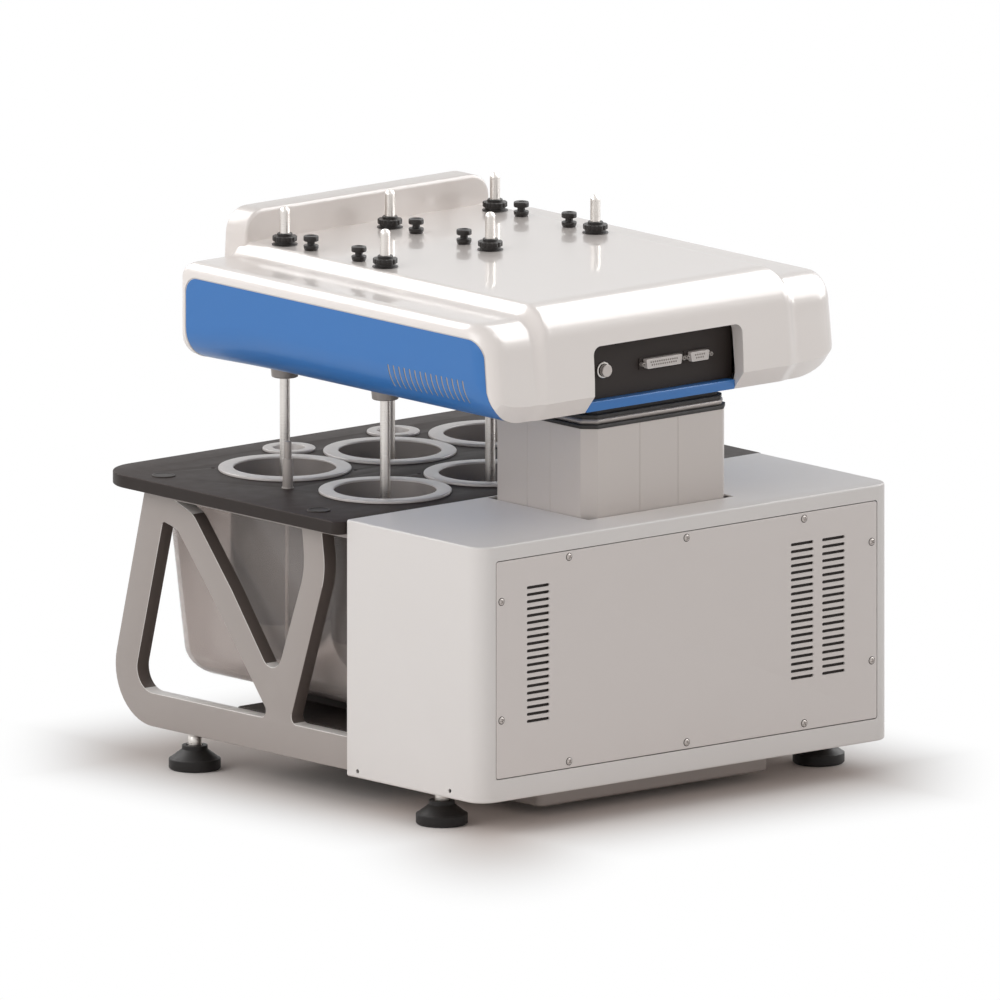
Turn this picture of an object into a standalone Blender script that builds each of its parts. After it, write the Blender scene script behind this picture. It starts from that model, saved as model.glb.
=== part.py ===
"""Tablet dissolution tester: a cabinet with a lifting head over a bath of six vessels.

Metres, +Z up. The origin is under the middle of the whole tester, on the surface it stands on.
The cabinet and the photographed rear face +Y, and the vessel plate reaches forward to -Y.
"""
import math

import bmesh
import bpy
from mathutils import Matrix

# Clearances that pieces share
GAP = 0.0003                 # between two faces that rest on each other
RUNNING = 0.0005             # radial, round a piece that turns or slides
OVERRUN = 0.010              # how far a cutter passes a face

# Spindles, vessels and the plate that carries them
SPINDLE_PITCH = 0.135        # across, from the middle spindle to an outer one
ROW_PITCH = 0.1511           # from the rear row to the front row
ROW_REAR_MARGIN = 0.092      # rear row to the plate's rear edge
PLATE_FRONT_MARGIN = 0.1234  # front row to the plate's front edge
PLATE_THICK = 0.013
PLATE_OVERHANG = 0.010       # past the cabinet's sides
PLATE_DROP = 0.0025          # plate's top below the cabinet's top
PLATE_GAP = 0.001            # plate to cabinet
PLATE_FRONT_CORNER = 0.045
PLATE_REAR_CORNER = 0.010
VESSEL_RADIUS = 0.0525
VESSEL_WALL = 0.002
VESSEL_FLOOR_ROOM = 0.017    # bath's underside to the vessel's lowest point
VESSEL_HOLE_CLEARANCE = 0.0008
FLANGE_RADIUS = 0.06525
FLANGE_THICK = 0.0027
FLANGE_EDGE = 0.0008
CUP_SPACING = 0.134
CUP_BATH_ROOM = 0.021        # cup's axis to the bath's front face
CUP_RADIUS = 0.0165
CUP_WALL = 0.001
CUP_DEPTH = 0.029
CUP_TAPER = 0.003
CUP_RING_RADIUS = 0.026
CUP_RING_THICK = 0.0027
PROBE_OFFSET = 0.0607        # outward from the outer spindles
PROBE_FLANGE_RADIUS = 0.006
PROBE_FLANGE_THICK = 0.0012
PROBE_SLEEVE_RADIUS = 0.0052
PROBE_SLEEVE_HEIGHT = 0.0298
PROBE_TUBE_RADIUS = 0.00375
PROBE_HEIGHT = 0.0467
PROBE_ROD_RADIUS = 0.0017
PROBE_ROD_LENGTH = 0.158

# Water bath, the tray under it and the heater between them
BATH_SIDE_ROOM = 0.0335
BATH_REAR_ROOM = 0.021
BATH_FRONT_ROOM = 0.0419
BATH_SIDE_TAPER = 0.016
BATH_FRONT_TAPER = 0.013
BATH_REAR_TAPER = 0.006
BATH_WALL = 0.003
BATH_CORNER = 0.022
TRAY_HEIGHT = 0.0345
TRAY_SHEET = 0.002
TRAY_DEPTH = 0.2
HEATER_HEIGHT = 0.0104
HEATER_SIDE_MARGIN = 0.070
HEATER_END_MARGIN = 0.012
HEATER_CORNER = 0.004

# Side frames
FRAME_BATH_GAP = 0.013
FRAME_THICK = 0.016
FRAME_RISE = 0.0015          # above the cabinet's underside
FRAME_REACH = 0.3804         # cabinet's front to the sharp corner of the outline
FRAME_TOE_RADIUS = 0.0554

# Levelling feet
PAD_RADIUS = 0.0255
PAD_HEIGHT = 0.0099
CONE_HEIGHT = 0.0096
COLLAR_RADIUS = 0.01265
COLLAR_HEIGHT = 0.0042
STUD_RADIUS = 0.00725
STUD_SHOWN = 0.0093
SPIGOT_RADIUS = 0.004
SPIGOT_LENGTH = 0.014
FRONT_FOOT_AHEAD = 0.0102    # ahead of the front spindle row
REAR_FOOT_SETBACK = 0.0849   # from the cabinet's rear face

# Cabinet
CABINET_STEP = 0.015         # frame's outer face to the cabinet's side
CABINET_DEPTH = 0.2025
CABINET_HEIGHT = 0.2552
CABINET_SHEET = 0.002
CABINET_CORNER = 0.020
CABINET_FRONT_CORNER = 0.006
CABINET_EDGE = 0.0015
FLOOR_THICK = 0.003
PANEL_SIDE_MARGIN = 0.0208
PANEL_BOTTOM_MARGIN = 0.0233
PANEL_TOP_MARGIN = 0.0159
PANEL_CORNER = 0.002
PANEL_LINE = 0.0005          # gap line round the panel
SLOT_PITCH = 0.007
SLOT_HEIGHT = 0.0024
SLOT_WIDTH = 0.0292
SLOT_BOTTOM_MARGIN = 0.0528
SLOT_TOP_MARGIN = 0.028
SLOT_COLUMN_SHARES = (0.7805, -0.6083, -0.7729)
PAN_WIDTH = 0.296
PAN_REAR_SETBACK = 0.048
PAN_DEPTH = 0.102
PAN_HEIGHT = 0.0237
PAN_CORNER = 0.008
PAN_SHEET = 0.0015

# Power inlet and its rocker on the cabinet's -X side
INLET_SETBACK = 0.070        # from the cabinet's rear face
INLET_RISE = 0.060           # centre above the cabinet's underside
INLET_WIDTH = 0.044
INLET_HEIGHT = 0.054
INLET_DEPTH = 0.030
INLET_LIP = 0.003
INLET_LIP_THICK = 0.0025
SOCKET_WIDTH = 0.027
SOCKET_HEIGHT = 0.019
SOCKET_DEPTH = 0.018
SOCKET_DROP = 0.012          # socket's centre below the inlet's centre
ROCKER_WIDTH = 0.022
ROCKER_HEIGHT = 0.014
ROCKER_RISE = 0.014
ROCKER_STAND = 0.003
ROCKER_WAIST = 0.0015
ROCKER_TILT = math.radians(7)
ROCKER_POCKET_DEPTH = 0.012
ROCKER_CLEARANCE = 0.0008
SUPPLY_LENGTH = 0.112
SUPPLY_DEPTH = 0.110
SUPPLY_HEIGHT = 0.050
SUPPLY_CORNER = 0.002
SUPPLY_COLUMN_ROOM = 0.025

# Column, gasket and lift
COLUMN_WIDTH = 0.1846
COLUMN_FRONT_ROOM = 0.006    # column's front face to the cabinet's
COLUMN_SHIFT = -0.0067
COLUMN_SETBACK = 0.0475
COLUMN_CHAMFER = 0.012
COLUMN_WALL = 0.003
COLUMN_SHOWN = 0.0883        # above the cabinet's top, with the head lowered
COLUMN_FLOOR_ROOM = 0.024    # lower end to the cabinet floor
GASKET_HEIGHT = 0.020
GASKET_FLANGE = 0.0037
GASKET_BAND_TOP = 0.0095
GASKET_UPPER_TOP = 0.0135
GASKET_OVERHANG = 0.001
GASKET_BAND_INSET = 0.002
GASKET_UPPER_INSET = 0.003
GASKET_NECK_INSET = 0.007
GASKET_WALL = 0.015
LIFT_TRAVEL = 0.180
ACTUATOR_WIDTH = 0.070
ACTUATOR_CORNER = 0.004
ROD_RADIUS = 0.010
ROD_FLOOR_ROOM = 0.018
ROD_ENGAGE = 0.017           # left in the actuator with the head at its top

# Head
HEAD_REAR_SETBACK = 0.0325   # shoulders' rear face from the cabinet's rear face
HEAD_FRONT_MARGIN = 0.0524   # head's front face past the front spindle row
DECK_SIDE_MARGIN = 0.0135    # flat deck past the outer spindles
HOOD_SIDE_ROUND = 0.0095
SHOULDER_WIDTH = 0.0771      # edge of the flat deck to the head's side
HEAD_HEIGHT = 0.113          # underside to deck
SHOULDER_DROP = 0.0125
SHOULDER_ROUND = 0.013
HEAD_UNDER_RADIUS = 0.050
HEAD_END_ROUND = 0.010
HEAD_WALL = 0.003
HOOD_REAR_STEP = 0.0065      # hood's rear face behind the shoulders' rear face
HOOD_REAR_ROUND = 0.035
HOOD_SKIRT_RISE = 0.0185
HOOD_SKIRT_RUN = 0.015
HOOD_STEP_IN = 0.0008        # hood's front and underside inside the shoulders'
PARTING_DROP = 0.026         # deck to the top of the lower shell
SIDE_FRONT_MARGIN = 0.008
SIDE_REAR_MARGIN = 0.0125
SIDE_REAR_LEAN = 0.007
SIDE_REAR_FOOT_CORNER = 0.003
SIDE_UNDER_PASS = 0.001       # how far the split passes the head's underside
SIDE_TOP_CORNER = 0.018
SIDE_FRONT_UNDER_RADIUS = 0.025
HEAD_SLOT_COUNT = 15
HEAD_SLOT_PITCH = 0.008
HEAD_SLOT_WIDTH = 0.0016
HEAD_SLOT_RISE = 0.0195
HEAD_SLOT_LENGTH = 0.024
HEAD_SLOT_SETBACK = 0.0418   # rearmost slot from the shoulders' rear face

# Connector bay in the head's rear
BAY_WIDTH = 0.191
BAY_HEIGHT = 0.0672
BAY_CORNER = 0.0085
BAY_DEPTH = 0.0217           # hood's rear face to the connector panel
BAY_SILL = 0.0101
CONNECTOR_PANEL_THICK = 0.002
CONNECTOR_RISE = 0.0382      # centres of the connectors above the head's underside
CONNECTOR_HEIGHT = 0.0095
CONNECTOR_STAND = 0.006
CONNECTOR_SLANT = 0.0015
CONNECTOR_ROUND = 0.0012
WIDE_CONNECTOR_WIDTH = 0.046
WIDE_CONNECTOR_X = -0.007
NARROW_CONNECTOR_WIDTH = 0.024
NARROW_CONNECTOR_X = -0.053
BUTTON_X = 0.0666
BUTTON_RADIUS = 0.00625
BUTTON_STAND = 0.0045
BUTTON_STEM_RADIUS = 0.004
BUTTON_STEM_LENGTH = 0.008
BUTTON_TRAVEL = 0.002

# Drive: chassis plate with bearing bosses, motor, belt and spindles
CHASSIS_THICK = 0.008
CHASSIS_FRONT_MARGIN = 0.033
CHASSIS_REAR_MARGIN = 0.0275
CHASSIS_CORNER = 0.010
BOSS_TOP_RADIUS = 0.015
BOSS_BOTTOM_RADIUS = 0.01325
BOSS_DROP = 0.0185           # below the head's underside
TUBE_RADIUS = 0.008
PULLEY_RADIUS = 0.015
PULLEY_THICK = 0.009
PULLEY_DROP = 0.030          # deck to the top of the pulleys
BELT_THICK = 0.002
BELT_SIDE_MARGIN = 0.0005
MOTOR_RADIUS = 0.030
MOTOR_OFFSET = 0.005         # motor's axis outside the outer spindles
MOTOR_PULLEY_ROOM = 0.003
MOTOR_SHAFT_RADIUS = 0.004
MOTOR_SHAFT_ENGAGE = 0.018
KNOB_HEIGHT = 0.0116
KNOB_HUB_RADIUS = 0.0075
KNOB_DISC_TOP = 0.0089
KNOB_DISC_BOTTOM = 0.0038
KNOB_DISC_RADIUS = 0.012
KNOB_BODY_RADIUS = 0.010
SHAFT_RADIUS = 0.005
SHAFT_STAND = 0.0379         # rounded tip above the deck
PADDLE_CLEARANCE = 0.025     # blade to the vessel's inside bottom
PADDLE_HEIGHT = 0.019
PADDLE_TOP_WIDTH = 0.0745
PADDLE_BOTTOM_WIDTH = 0.042
PADDLE_THICK = 0.004
PLUG_ROW_SHARE = 0.2382      # plugs' distance from the middle, of the row pitch
PLUG_RADIUS = 0.0075
PLUG_FOOT_RADIUS = 0.0065
PLUG_NECK_RADIUS = 0.00385
PLUG_LOWER_TOP = 0.0055
PLUG_UPPER_BOTTOM = 0.0093
PLUG_HEIGHT = 0.0146
PLUG_SPIGOT_RADIUS = 0.0045
PLUG_SPIGOT_LENGTH = 0.008

# Control housing across the head's front
CONTROL_HALF_MARGIN = 0.0085 # past the flat deck's edge
CONTROL_RISE = 0.028         # above the deck
CONTROL_REAR_REACH = 0.019   # over the deck, behind the head's front face
CONTROL_TOP_FORWARD = 0.011
CONTROL_BOTTOM_FORWARD = 0.021
CONTROL_FOOT_RISE = 0.0035
CONTROL_EDGE = 0.005
CONTROL_REAR_ROUND = 0.0095
MEMBRANE_THICK = 0.0012
MEMBRANE_SIDE_MARGIN = 0.017
MEMBRANE_BOTTOM_SHARE = 0.08 # of the sloping front face
MEMBRANE_TOP_SHARE = 0.90

# Facets round turned pieces
FINE_STEPS = 24
ROUND_STEPS = 16
SMALL_STEPS = 12
ARC_STEPS = 4

# Levels, from the floor up
CABINET_BOTTOM = PAD_HEIGHT + CONE_HEIGHT + COLLAR_HEIGHT + STUD_SHOWN
CABINET_TOP = CABINET_BOTTOM + CABINET_HEIGHT
FLOOR_TOP = CABINET_BOTTOM + FLOOR_THICK
PLATE_TOP = CABINET_TOP - PLATE_DROP
PLATE_BOTTOM = PLATE_TOP - PLATE_THICK
FRAME_BOTTOM = CABINET_BOTTOM + FRAME_RISE
FRAME_TOP = PLATE_BOTTOM - GAP
TRAY_TOP = FRAME_BOTTOM + TRAY_HEIGHT
BATH_BOTTOM = TRAY_TOP + HEATER_HEIGHT + 2 * GAP
VESSEL_BOTTOM = BATH_BOTTOM + VESSEL_FLOOR_ROOM
COLUMN_TOP = CABINET_TOP + COLUMN_SHOWN
HEAD_BOTTOM = COLUMN_TOP + GASKET_HEIGHT
DECK = HEAD_BOTTOM + HEAD_HEIGHT
SHOULDER_TOP = DECK - SHOULDER_DROP
PARTING = DECK - PARTING_DROP
CHASSIS_BOTTOM = HEAD_BOTTOM + HEAD_WALL + GAP
CHASSIS_TOP = CHASSIS_BOTTOM + CHASSIS_THICK
BOSS_BOTTOM = HEAD_BOTTOM - BOSS_DROP
PULLEY_TOP = DECK - PULLEY_DROP
PULLEY_BOTTOM = PULLEY_TOP - PULLEY_THICK
PADDLE_BOTTOM = VESSEL_BOTTOM + VESSEL_WALL + PADDLE_CLEARANCE
ACTUATOR_TOP = FLOOR_TOP + ROD_FLOOR_ROOM + LIFT_TRAVEL + ROD_ENGAGE

# Places from rear to front
OVERALL_DEPTH = CABINET_DEPTH + PLATE_GAP + ROW_REAR_MARGIN + ROW_PITCH + PLATE_FRONT_MARGIN
REAR = OVERALL_DEPTH / 2
CABINET_FRONT = REAR - CABINET_DEPTH
PLATE_REAR = CABINET_FRONT - PLATE_GAP
PLATE_FRONT = -OVERALL_DEPTH / 2
REAR_ROW = PLATE_REAR - ROW_REAR_MARGIN
FRONT_ROW = REAR_ROW - ROW_PITCH
MIDDLE = (REAR_ROW + FRONT_ROW) / 2
BATH_REAR = REAR_ROW + VESSEL_RADIUS + BATH_REAR_ROOM
BATH_FRONT = FRONT_ROW - VESSEL_RADIUS - BATH_FRONT_ROOM
CUP_Y = BATH_FRONT + CUP_BATH_ROOM
HEAD_REAR = REAR - HEAD_REAR_SETBACK
HEAD_FRONT = FRONT_ROW - HEAD_FRONT_MARGIN
HOOD_REAR = HEAD_REAR + HOOD_REAR_STEP
BAY_FACE = HOOD_REAR - BAY_DEPTH
COLUMN_DEPTH = CABINET_DEPTH - COLUMN_SETBACK - COLUMN_FRONT_ROOM
COLUMN_REAR = REAR - COLUMN_SETBACK
COLUMN_MIDDLE = COLUMN_REAR - COLUMN_DEPTH / 2

# Places from the middle outward
BATH_HALF = SPINDLE_PITCH + VESSEL_RADIUS + BATH_SIDE_ROOM
FRAME_INNER = BATH_HALF + FRAME_BATH_GAP
FRAME_MIDDLE = FRAME_INNER + FRAME_THICK / 2
CABINET_HALF = FRAME_INNER + FRAME_THICK + CABINET_STEP
PLATE_HALF = CABINET_HALF + PLATE_OVERHANG
DECK_HALF = SPINDLE_PITCH + DECK_SIDE_MARGIN
HOOD_HALF = DECK_HALF + HOOD_SIDE_ROUND
HEAD_HALF = DECK_HALF + SHOULDER_WIDTH
CONTROL_HALF = DECK_HALF + CONTROL_HALF_MARGIN
MOTOR_X = SPINDLE_PITCH + MOTOR_OFFSET

# Places of what repeats
SPINDLE_PLACES = [(x, y) for y in (FRONT_ROW, REAR_ROW) for x in (-SPINDLE_PITCH, 0, SPINDLE_PITCH)]
PLUG_PLACES = [(x, MIDDLE + side * PLUG_ROW_SHARE * ROW_PITCH)
               for side in (-1, 1) for x in (-SPINDLE_PITCH, 0, SPINDLE_PITCH)]

# Colour, roughness and metallic value of each finish
FINISHES = {
    "light_paint": ((0.66, 0.63, 0.60), 0.42, 0.0),
    "cast_paint": ((0.55, 0.52, 0.50), 0.45, 0.0),
    "dark_plate": ((0.09, 0.075, 0.065), 0.40, 0.0),
    "white_plastic": ((0.86, 0.84, 0.81), 0.28, 0.0),
    "blue_plastic": ((0.08, 0.20, 0.46), 0.32, 0.0),
    "black_plastic": ((0.03, 0.026, 0.024), 0.38, 0.0),
    "clear_plastic": ((0.55, 0.54, 0.53), 0.18, 0.0),
    "steel": ((0.62, 0.60, 0.58), 0.24, 1.0),
    "aluminium": ((0.70, 0.69, 0.67), 0.35, 1.0),
    "rubber": ((0.05, 0.05, 0.05), 0.75, 0.0),
}

# Mesh axes (u, v, drawn out) turned to the world's, for outlines drawn out along X, Y or Z
TURNS = {
    "X": Matrix(((0, 0, 1, 0), (1, 0, 0, 0), (0, 1, 0, 0), (0, 0, 0, 1))),
    "Y": Matrix(((1, 0, 0, 0), (0, 0, -1, 0), (0, 1, 0, 0), (0, 0, 0, 1))),
    "Z": Matrix.Identity(4),
}
WELD = 0.00001
FLAT_ANGLE = math.radians(0.5)
SHARP_ANGLE = math.radians(35)
BEVEL_ANGLE = math.radians(55)


def clear_scene():
    for found in list(bpy.data.objects):
        bpy.data.objects.remove(found, do_unlink=True)


def new_collection(name):
    made = bpy.data.collections.new(name)
    bpy.context.scene.collection.children.link(made)
    return made


def material(name, finish):
    colour, roughness, metallic = FINISHES[finish]
    made = bpy.data.materials.new(name)
    made.use_nodes = True
    shader = made.node_tree.nodes["Principled BSDF"]
    shader.inputs["Base Color"].default_value = (*colour, 1)
    shader.inputs["Roughness"].default_value = roughness
    shader.inputs["Metallic"].default_value = metallic
    return made


def part(name, mesh, finish, place=(0, 0, 0)):
    """One named piece, with a material of its own."""
    mesh.name = name
    made = bpy.data.objects.new(name, mesh)
    made.location = place
    mesh.materials.clear()
    mesh.materials.append(material(name, finish))
    PARTS.objects.link(made)
    return made


def helper(name, mesh, place=(0, 0, 0)):
    """A solid that only cuts, joins or trims a piece."""
    mesh.name = name
    made = bpy.data.objects.new(name, mesh)
    made.location = place
    made.hide_render = True
    made.display_type = "WIRE"
    HELPERS.objects.link(made)
    return made


def evaluated_mesh(source):
    graph = bpy.context.evaluated_depsgraph_get()
    graph.update()
    return bpy.data.meshes.new_from_object(source.evaluated_get(graph))


def shade(mesh):
    mesh.shade_smooth()
    mesh.set_sharp_from_angle(angle=SHARP_ANGLE)


def rounded(corners):
    """An outline from corners (u, v, radius), each radius drawn as an arc."""
    outline = []
    for index, (u, v, radius) in enumerate(corners):
        if radius <= 0:
            outline.append((u, v))
            continue
        before = corners[index - 1]
        after = corners[(index + 1) % len(corners)]
        back_turn = math.atan2(before[1] - v, before[0] - u)
        ahead_turn = math.atan2(after[1] - v, after[0] - u)
        opening = (ahead_turn - back_turn + math.pi) % math.tau - math.pi
        middle_turn = back_turn + opening / 2
        reach = radius / abs(math.sin(opening / 2))
        centre = (u + reach * math.cos(middle_turn), v + reach * math.sin(middle_turn))
        swing = math.copysign(math.pi, opening) - opening
        for step in range(ARC_STEPS + 1):
            turn = middle_turn + math.pi - swing * (step / ARC_STEPS - 1 / 2)
            outline.append((centre[0] + radius * math.cos(turn), centre[1] + radius * math.sin(turn)))
    return outline


def rectangle(left, right, low, high, low_radius=0, high_radius=0):
    return rounded([(left, low, low_radius), (right, low, low_radius),
                    (right, high, high_radius), (left, high, high_radius)])


def circle(x, y, radius, steps):
    turns = [math.tau * step / steps for step in range(steps)]
    return [(x + radius * math.cos(turn), y + radius * math.sin(turn)) for turn in turns]


def prism(loops, low, high, axis="Z"):
    """The mesh of a flat outline, with any holes in it, drawn out along an axis."""
    curve = bpy.data.curves.new("outline", "CURVE")
    curve.dimensions = "2D"
    curve.fill_mode = "BOTH"
    curve.extrude = (high - low) / 2
    for loop in loops:
        spline = curve.splines.new("POLY")
        spline.points.add(len(loop) - 1)
        for point, (u, v) in zip(spline.points, loop):
            point.co = (u, v, 0, 1)
        spline.use_cyclic_u = True
    holder = bpy.data.objects.new("outline", curve)
    HELPERS.objects.link(holder)
    mesh = evaluated_mesh(holder)
    bpy.data.objects.remove(holder)
    middle = (low + high) / 2
    if axis == "Y":
        middle = -middle
    mesh.transform(TURNS[axis] @ Matrix.Translation((0, 0, middle)))
    work = bmesh.new()
    work.from_mesh(mesh)
    bmesh.ops.remove_doubles(work, verts=work.verts, dist=WELD)
    if len(loops) == 1:
        bmesh.ops.dissolve_limit(work, angle_limit=FLAT_ANGLE, verts=work.verts, edges=work.edges)
    bmesh.ops.recalc_face_normals(work, faces=work.faces)
    work.to_mesh(mesh)
    work.free()
    return mesh


def box(low, high):
    """The mesh of a box between two opposite corners."""
    return boxes([(low, high)])


def boxes(pairs):
    """One mesh of separate boxes."""
    work = bmesh.new()
    for low, high in pairs:
        size = [top - bottom for bottom, top in zip(low, high)]
        middle = [(top + bottom) / 2 for bottom, top in zip(low, high)]
        bmesh.ops.create_cube(work, size=1, matrix=Matrix.Translation(middle) @ Matrix.Diagonal((*size, 1)))
    mesh = bpy.data.meshes.new("mesh")
    work.to_mesh(mesh)
    work.free()
    return mesh


def rounds(places, low_radius, high_radius, low, high, steps):
    """One mesh of separate upright cylinders or cones."""
    work = bmesh.new()
    for x, y in places:
        middle = Matrix.Translation((x, y, (low + high) / 2))
        bmesh.ops.create_cone(work, cap_ends=True, segments=steps, radius1=low_radius,
                              radius2=high_radius, depth=high - low, matrix=middle)
    mesh = bpy.data.meshes.new("mesh")
    work.to_mesh(mesh)
    work.free()
    return mesh


def profile_mesh(profile, closed=False):
    edges = [(index, index + 1) for index in range(len(profile) - 1)]
    if closed:
        edges.append((len(profile) - 1, 0))
    mesh = bpy.data.meshes.new("mesh")
    mesh.from_pydata([(radius, 0, height) for radius, height in profile], edges, [])
    return mesh


def turn_round(target, steps):
    """Screw modifier that turns a profile round its object's Z axis."""
    screw = target.modifiers.new("turned", "SCREW")
    screw.steps = steps
    screw.render_steps = steps
    screw.use_merge_vertices = True
    screw.merge_threshold = WELD
    screw.use_smooth_shade = True
    return target


def bevel(target, width, segments=2):
    step = target.modifiers.new("rounded", "BEVEL")
    step.width = width
    step.segments = segments
    step.limit_method = "ANGLE"
    step.angle_limit = BEVEL_ANGLE
    return target


def solidify(target, thickness):
    step = target.modifiers.new("wall", "SOLIDIFY")
    step.thickness = thickness
    step.offset = -1
    step.use_even_offset = True
    return target


def combine(target, other, operation):
    step = target.modifiers.new(operation.lower(), "BOOLEAN")
    step.operation = operation
    step.solver = "EXACT"
    step.object = other
    return target


def cut(target, cutter):
    return combine(target, cutter, "DIFFERENCE")


def join(target, other):
    return combine(target, other, "UNION")


def open_box(low, high, open_side, low_inset=(0, 0, 0, 0)):
    """A box with one end left off; low_inset draws its lower edges in at left, right, front, rear."""
    work = bmesh.new()
    bmesh.ops.create_cube(work, size=1)
    left, right, front, rear = low_inset
    for corner in work.verts:
        lower = corner.co.z < 0
        corner.co.x = (high[0] - lower * right) if corner.co.x > 0 else (low[0] + lower * left)
        corner.co.y = (high[1] - lower * rear) if corner.co.y > 0 else (low[1] + lower * front)
        corner.co.z = low[2] if lower else high[2]
    ends = [face for face in work.faces if face.normal.z * open_side > 0.9]
    bmesh.ops.delete(work, geom=ends, context="FACES")
    mesh = bpy.data.meshes.new("mesh")
    work.to_mesh(mesh)
    work.free()
    return mesh


def cabinet_outline(inset):
    half = CABINET_HALF - inset
    return rectangle(-half, half, CABINET_FRONT + inset, REAR - inset, CABINET_FRONT_CORNER - inset,
                     CABINET_CORNER - inset)


def column_outline(inset):
    """The lift column's chamfered outline, seen from above."""
    half = COLUMN_WIDTH / 2 - inset
    front = COLUMN_MIDDLE - COLUMN_DEPTH / 2 + inset
    back = COLUMN_REAR - inset
    left = COLUMN_SHIFT - half
    right = COLUMN_SHIFT + half
    slope = COLUMN_CHAMFER
    return [(left + slope, front), (right - slope, front), (right, front + slope), (right, back - slope),
            (right - slope, back), (left + slope, back), (left, back - slope), (left, front + slope)]


def panel_outline(inset):
    return rectangle(-CABINET_HALF + PANEL_SIDE_MARGIN + inset, CABINET_HALF - PANEL_SIDE_MARGIN - inset,
                     CABINET_BOTTOM + PANEL_BOTTOM_MARGIN + inset, CABINET_TOP - PANEL_TOP_MARGIN - inset,
                     PANEL_CORNER, PANEL_CORNER)


def inlet_box(half_width, half_height, low_x, high_x, rise=0):
    """A box at the power inlet, its middle raised from the inlet's middle."""
    y = REAR - INLET_SETBACK
    z = CABINET_BOTTOM + INLET_RISE + rise
    return box((low_x, y - half_width, z - half_height), (high_x, y + half_width, z + half_height))


def make_cabinet_shell():
    shell = part("cabinet_shell", prism([cabinet_outline(0)], CABINET_BOTTOM, CABINET_TOP),
                 "light_paint")
    bevel(shell, CABINET_EDGE)
    cut(shell, helper("cabinet_inside", prism([cabinet_outline(CABINET_SHEET)],
                                              CABINET_BOTTOM - OVERRUN, CABINET_TOP - CABINET_SHEET)))
    cut(shell, helper("column_hole", prism([column_outline(-RUNNING)],
                                           CABINET_TOP - OVERRUN, CABINET_TOP + OVERRUN)))
    cut(shell, helper("panel_opening", prism([panel_outline(-PANEL_LINE)],
                                             REAR - OVERRUN, REAR + OVERRUN, "Y")))
    cut(shell, helper("inlet_hole", inlet_box(INLET_WIDTH / 2 + GAP, INLET_HEIGHT / 2 + GAP,
                                              -CABINET_HALF - OVERRUN, -CABINET_HALF + OVERRUN)))


def make_cabinet_floor():
    slab = part("cabinet_floor", prism([cabinet_outline(CABINET_SHEET + GAP)],
                                       CABINET_BOTTOM, FLOOR_TOP), "light_paint")
    places = [(side * FRAME_MIDDLE, REAR - REAR_FOOT_SETBACK) for side in (-1, 1)]
    cut(slab, helper("floor_holes", rounds(places, SPIGOT_RADIUS + RUNNING,
                                           SPIGOT_RADIUS + RUNNING, CABINET_BOTTOM - OVERRUN,
                                           FLOOR_TOP + OVERRUN, SMALL_STEPS)))


def make_service_panel():
    panel = part("service_panel", prism([panel_outline(0)], REAR - CABINET_SHEET, REAR, "Y"),
                 "light_paint")
    half = CABINET_HALF - PANEL_SIDE_MARGIN
    low = CABINET_BOTTOM + PANEL_BOTTOM_MARGIN + SLOT_BOTTOM_MARGIN
    high = CABINET_TOP - PANEL_TOP_MARGIN - SLOT_TOP_MARGIN
    count = int((high - low) / SLOT_PITCH) + 1
    slots = []
    for share in SLOT_COLUMN_SHARES:
        for row in range(count):
            z = low + row * SLOT_PITCH
            slots.append(((share * half - SLOT_WIDTH / 2, REAR - OVERRUN, z - SLOT_HEIGHT / 2),
                          (share * half + SLOT_WIDTH / 2, REAR + OVERRUN, z + SLOT_HEIGHT / 2)))
    cut(panel, helper("vent_slots", boxes(slots)))


def make_base_pan():
    high = CABINET_BOTTOM - GAP
    back = REAR - PAN_REAR_SETBACK
    mesh = open_box((-PAN_WIDTH / 2, back - PAN_DEPTH, high - PAN_HEIGHT),
                    (PAN_WIDTH / 2, back, high), 1)
    solidify(bevel(part("base_pan", mesh, "light_paint"), PAN_CORNER, 3), PAN_SHEET)


def make_feet():
    places = [(side, y, seat) for y, seat in ((REAR - REAR_FOOT_SETBACK, CABINET_BOTTOM),
                                              (FRONT_ROW - FRONT_FOOT_AHEAD, FRAME_BOTTOM)) for side in (1, -1)]
    cone_top = PAD_HEIGHT + CONE_HEIGHT
    collar_top = cone_top + COLLAR_HEIGHT
    for number, (side, y, seat) in enumerate(places, 1):
        stud_top = seat - GAP
        tip = seat + SPIGOT_LENGTH
        profile = [(0, tip), (SPIGOT_RADIUS, tip), (SPIGOT_RADIUS, stud_top), (STUD_RADIUS, stud_top),
                   (STUD_RADIUS, collar_top), (COLLAR_RADIUS, collar_top),
                   (COLLAR_RADIUS, cone_top), (PAD_RADIUS, PAD_HEIGHT), (PAD_RADIUS, 0), (0, 0)]
        name = f"foot_{number}"
        turn_round(part(name, profile_mesh(profile), "rubber", (side * FRAME_MIDDLE, y, 0)), ROUND_STEPS)


def frame_place(forward_share, up_share):
    """A point of the side frame's outline, from shares of its reach and height."""
    height = FRAME_TOP - FRAME_BOTTOM
    return CABINET_FRONT - GAP - forward_share * FRAME_REACH, FRAME_BOTTOM + up_share * height


def frame_outline(corner_shares):
    """Corners as shares forward and up, with a radius as a share of the toe's radius."""
    corners = []
    for forward_share, up_share, radius_share in corner_shares:
        corners.append((*frame_place(forward_share, up_share), radius_share * FRAME_TOE_RADIUS))
    return rounded(corners)


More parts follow.
